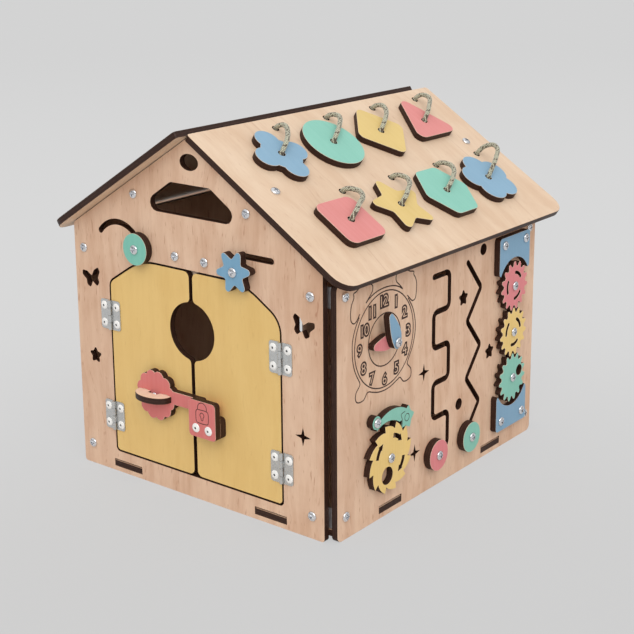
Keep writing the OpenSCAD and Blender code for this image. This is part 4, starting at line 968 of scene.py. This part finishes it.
def hinge_marks(x):
    """The places of the rivets in one column: above and below the middle of each hinge."""
    return [(x, z + dz) for z in hinge_heights for dz in (-rivet_z, rivet_z)]


leaf_t, pin_foot = 1.0, 0.58
leaf_pin_out = leaf_t + pin_foot
frame_marks = hinge_marks(hinge_x + rivet_x) + hinge_marks(-hinge_x - rivet_x)
count = pins("frame_pins", "house", frame_marks, leaf_pin_out)
count += pins("right_door_pins", "right_door", hinge_marks(hinge_x - rivet_x), leaf_pin_out)
count += pins("left_door_pins", "left_door", hinge_marks(rivet_x - hinge_x), leaf_pin_out)
count += pins("lock_pins", "right_door", [(15.8, 82.9), (31.8, 82.9)], plate_out + pin_foot)
print("rivet pins", count)

# %% [markdown]
# ## Studio
# The house stands on a pale floor that runs far back, so there is no horizon. Light comes
# from a large soft sky that is brighter overhead, and one wide lamp in front of the corner
# between the door and the toys. Most of the floor's look to the camera is a painted glow:
# plain grey, with a painted pool of light a little brighter around the house. The rest is
# lit, so that the shadow stays.

# %% Floor
floor_size = 60.0
corner = floor_size / 2
floor_mesh = bpy.data.meshes.new("floor")
floor_corners = [(-corner, -corner, 0), (corner, -corner, 0), (corner, corner, 0), (-corner, corner, 0)]
floor_mesh.from_pydata(floor_corners, [], [(0, 1, 2, 3)])
floor = bpy.data.objects.new("floor", floor_mesh)
bpy.context.scene.collection.objects.link(floor)
floor_finish = bpy.data.materials.new("studio_floor")
floor_finish.use_nodes = True
tree = floor_finish.node_tree
shader = tree.nodes["Principled BSDF"]
shader.inputs["Roughness"].default_value = 0.9
floor_grey = tint(209, 209, 209)
shader.inputs["Base Color"].default_value = floor_grey
# Painted light: the camera's view of the floor is a glow, brightest just behind the house, darker towards the
# camera and a little darker far back.
view_back = (-0.63, 0.78, 0.0)
depth = vectors(tree, "DOT_PRODUCT", put(tree, "TexCoord").outputs["Object"], view_back)
near = ranged(tree, depth, -0.5, 0.5)
far = ranged(tree, depth, 0.6, 4.0, 1.0, 0.4)
floor_glow = blended(tree, maths(tree, "MULTIPLY", near, far), tint(204, 204, 204), tint(215, 215, 215))
glow = put(tree, "Emission", {"Color": floor_glow, "Strength": 1.0})
seen = maths(tree, "MULTIPLY", put(tree, "LightPath").outputs["Is Camera Ray"], 0.8)
mixed = put(tree, "MixShader", {0: seen, 1: shader.outputs[0], 2: glow.outputs[0]})
tree.links.new(mixed.outputs[0], tree.nodes["Material Output"].inputs["Surface"])
floor_mesh.materials.append(floor_finish)
print("floor", floor_size, "m wide")

# %% Sky and lamp
world = bpy.data.worlds.new("studio")
bpy.context.scene.world = world
world.use_nodes = True
tree = world.node_tree
toward = put(tree, "SeparateXYZ", {0: put(tree, "TexCoord").outputs["Generated"]}).outputs["Z"]
sky = blended(tree, ranged(tree, toward, 0.0, 0.6), (0.35, 0.35, 0.355, 1), (1.1, 1.1, 1.1, 1))
rays = put(tree, "LightPath").outputs
sky = blended(tree, rays["Is Camera Ray"], sky, floor_grey)
back = tree.nodes["Background"]
tree.links.new(sky, back.inputs["Color"])
back.inputs["Strength"].default_value = 0.8

lamp_data = bpy.data.lights.new("lamp", "SUN")
lamp_data.energy = 1.5
lamp_data.angle = math.radians(50)
lamp = bpy.data.objects.new("lamp", lamp_data)
lamp.rotation_euler = [math.radians(a) for a in (49.5, 0, 44)]
bpy.context.scene.collection.objects.link(lamp)
bpy.context.scene.view_settings.view_transform = "Standard"
print("sky strength", back.inputs["Strength"].default_value, "lamp", lamp_data.energy)
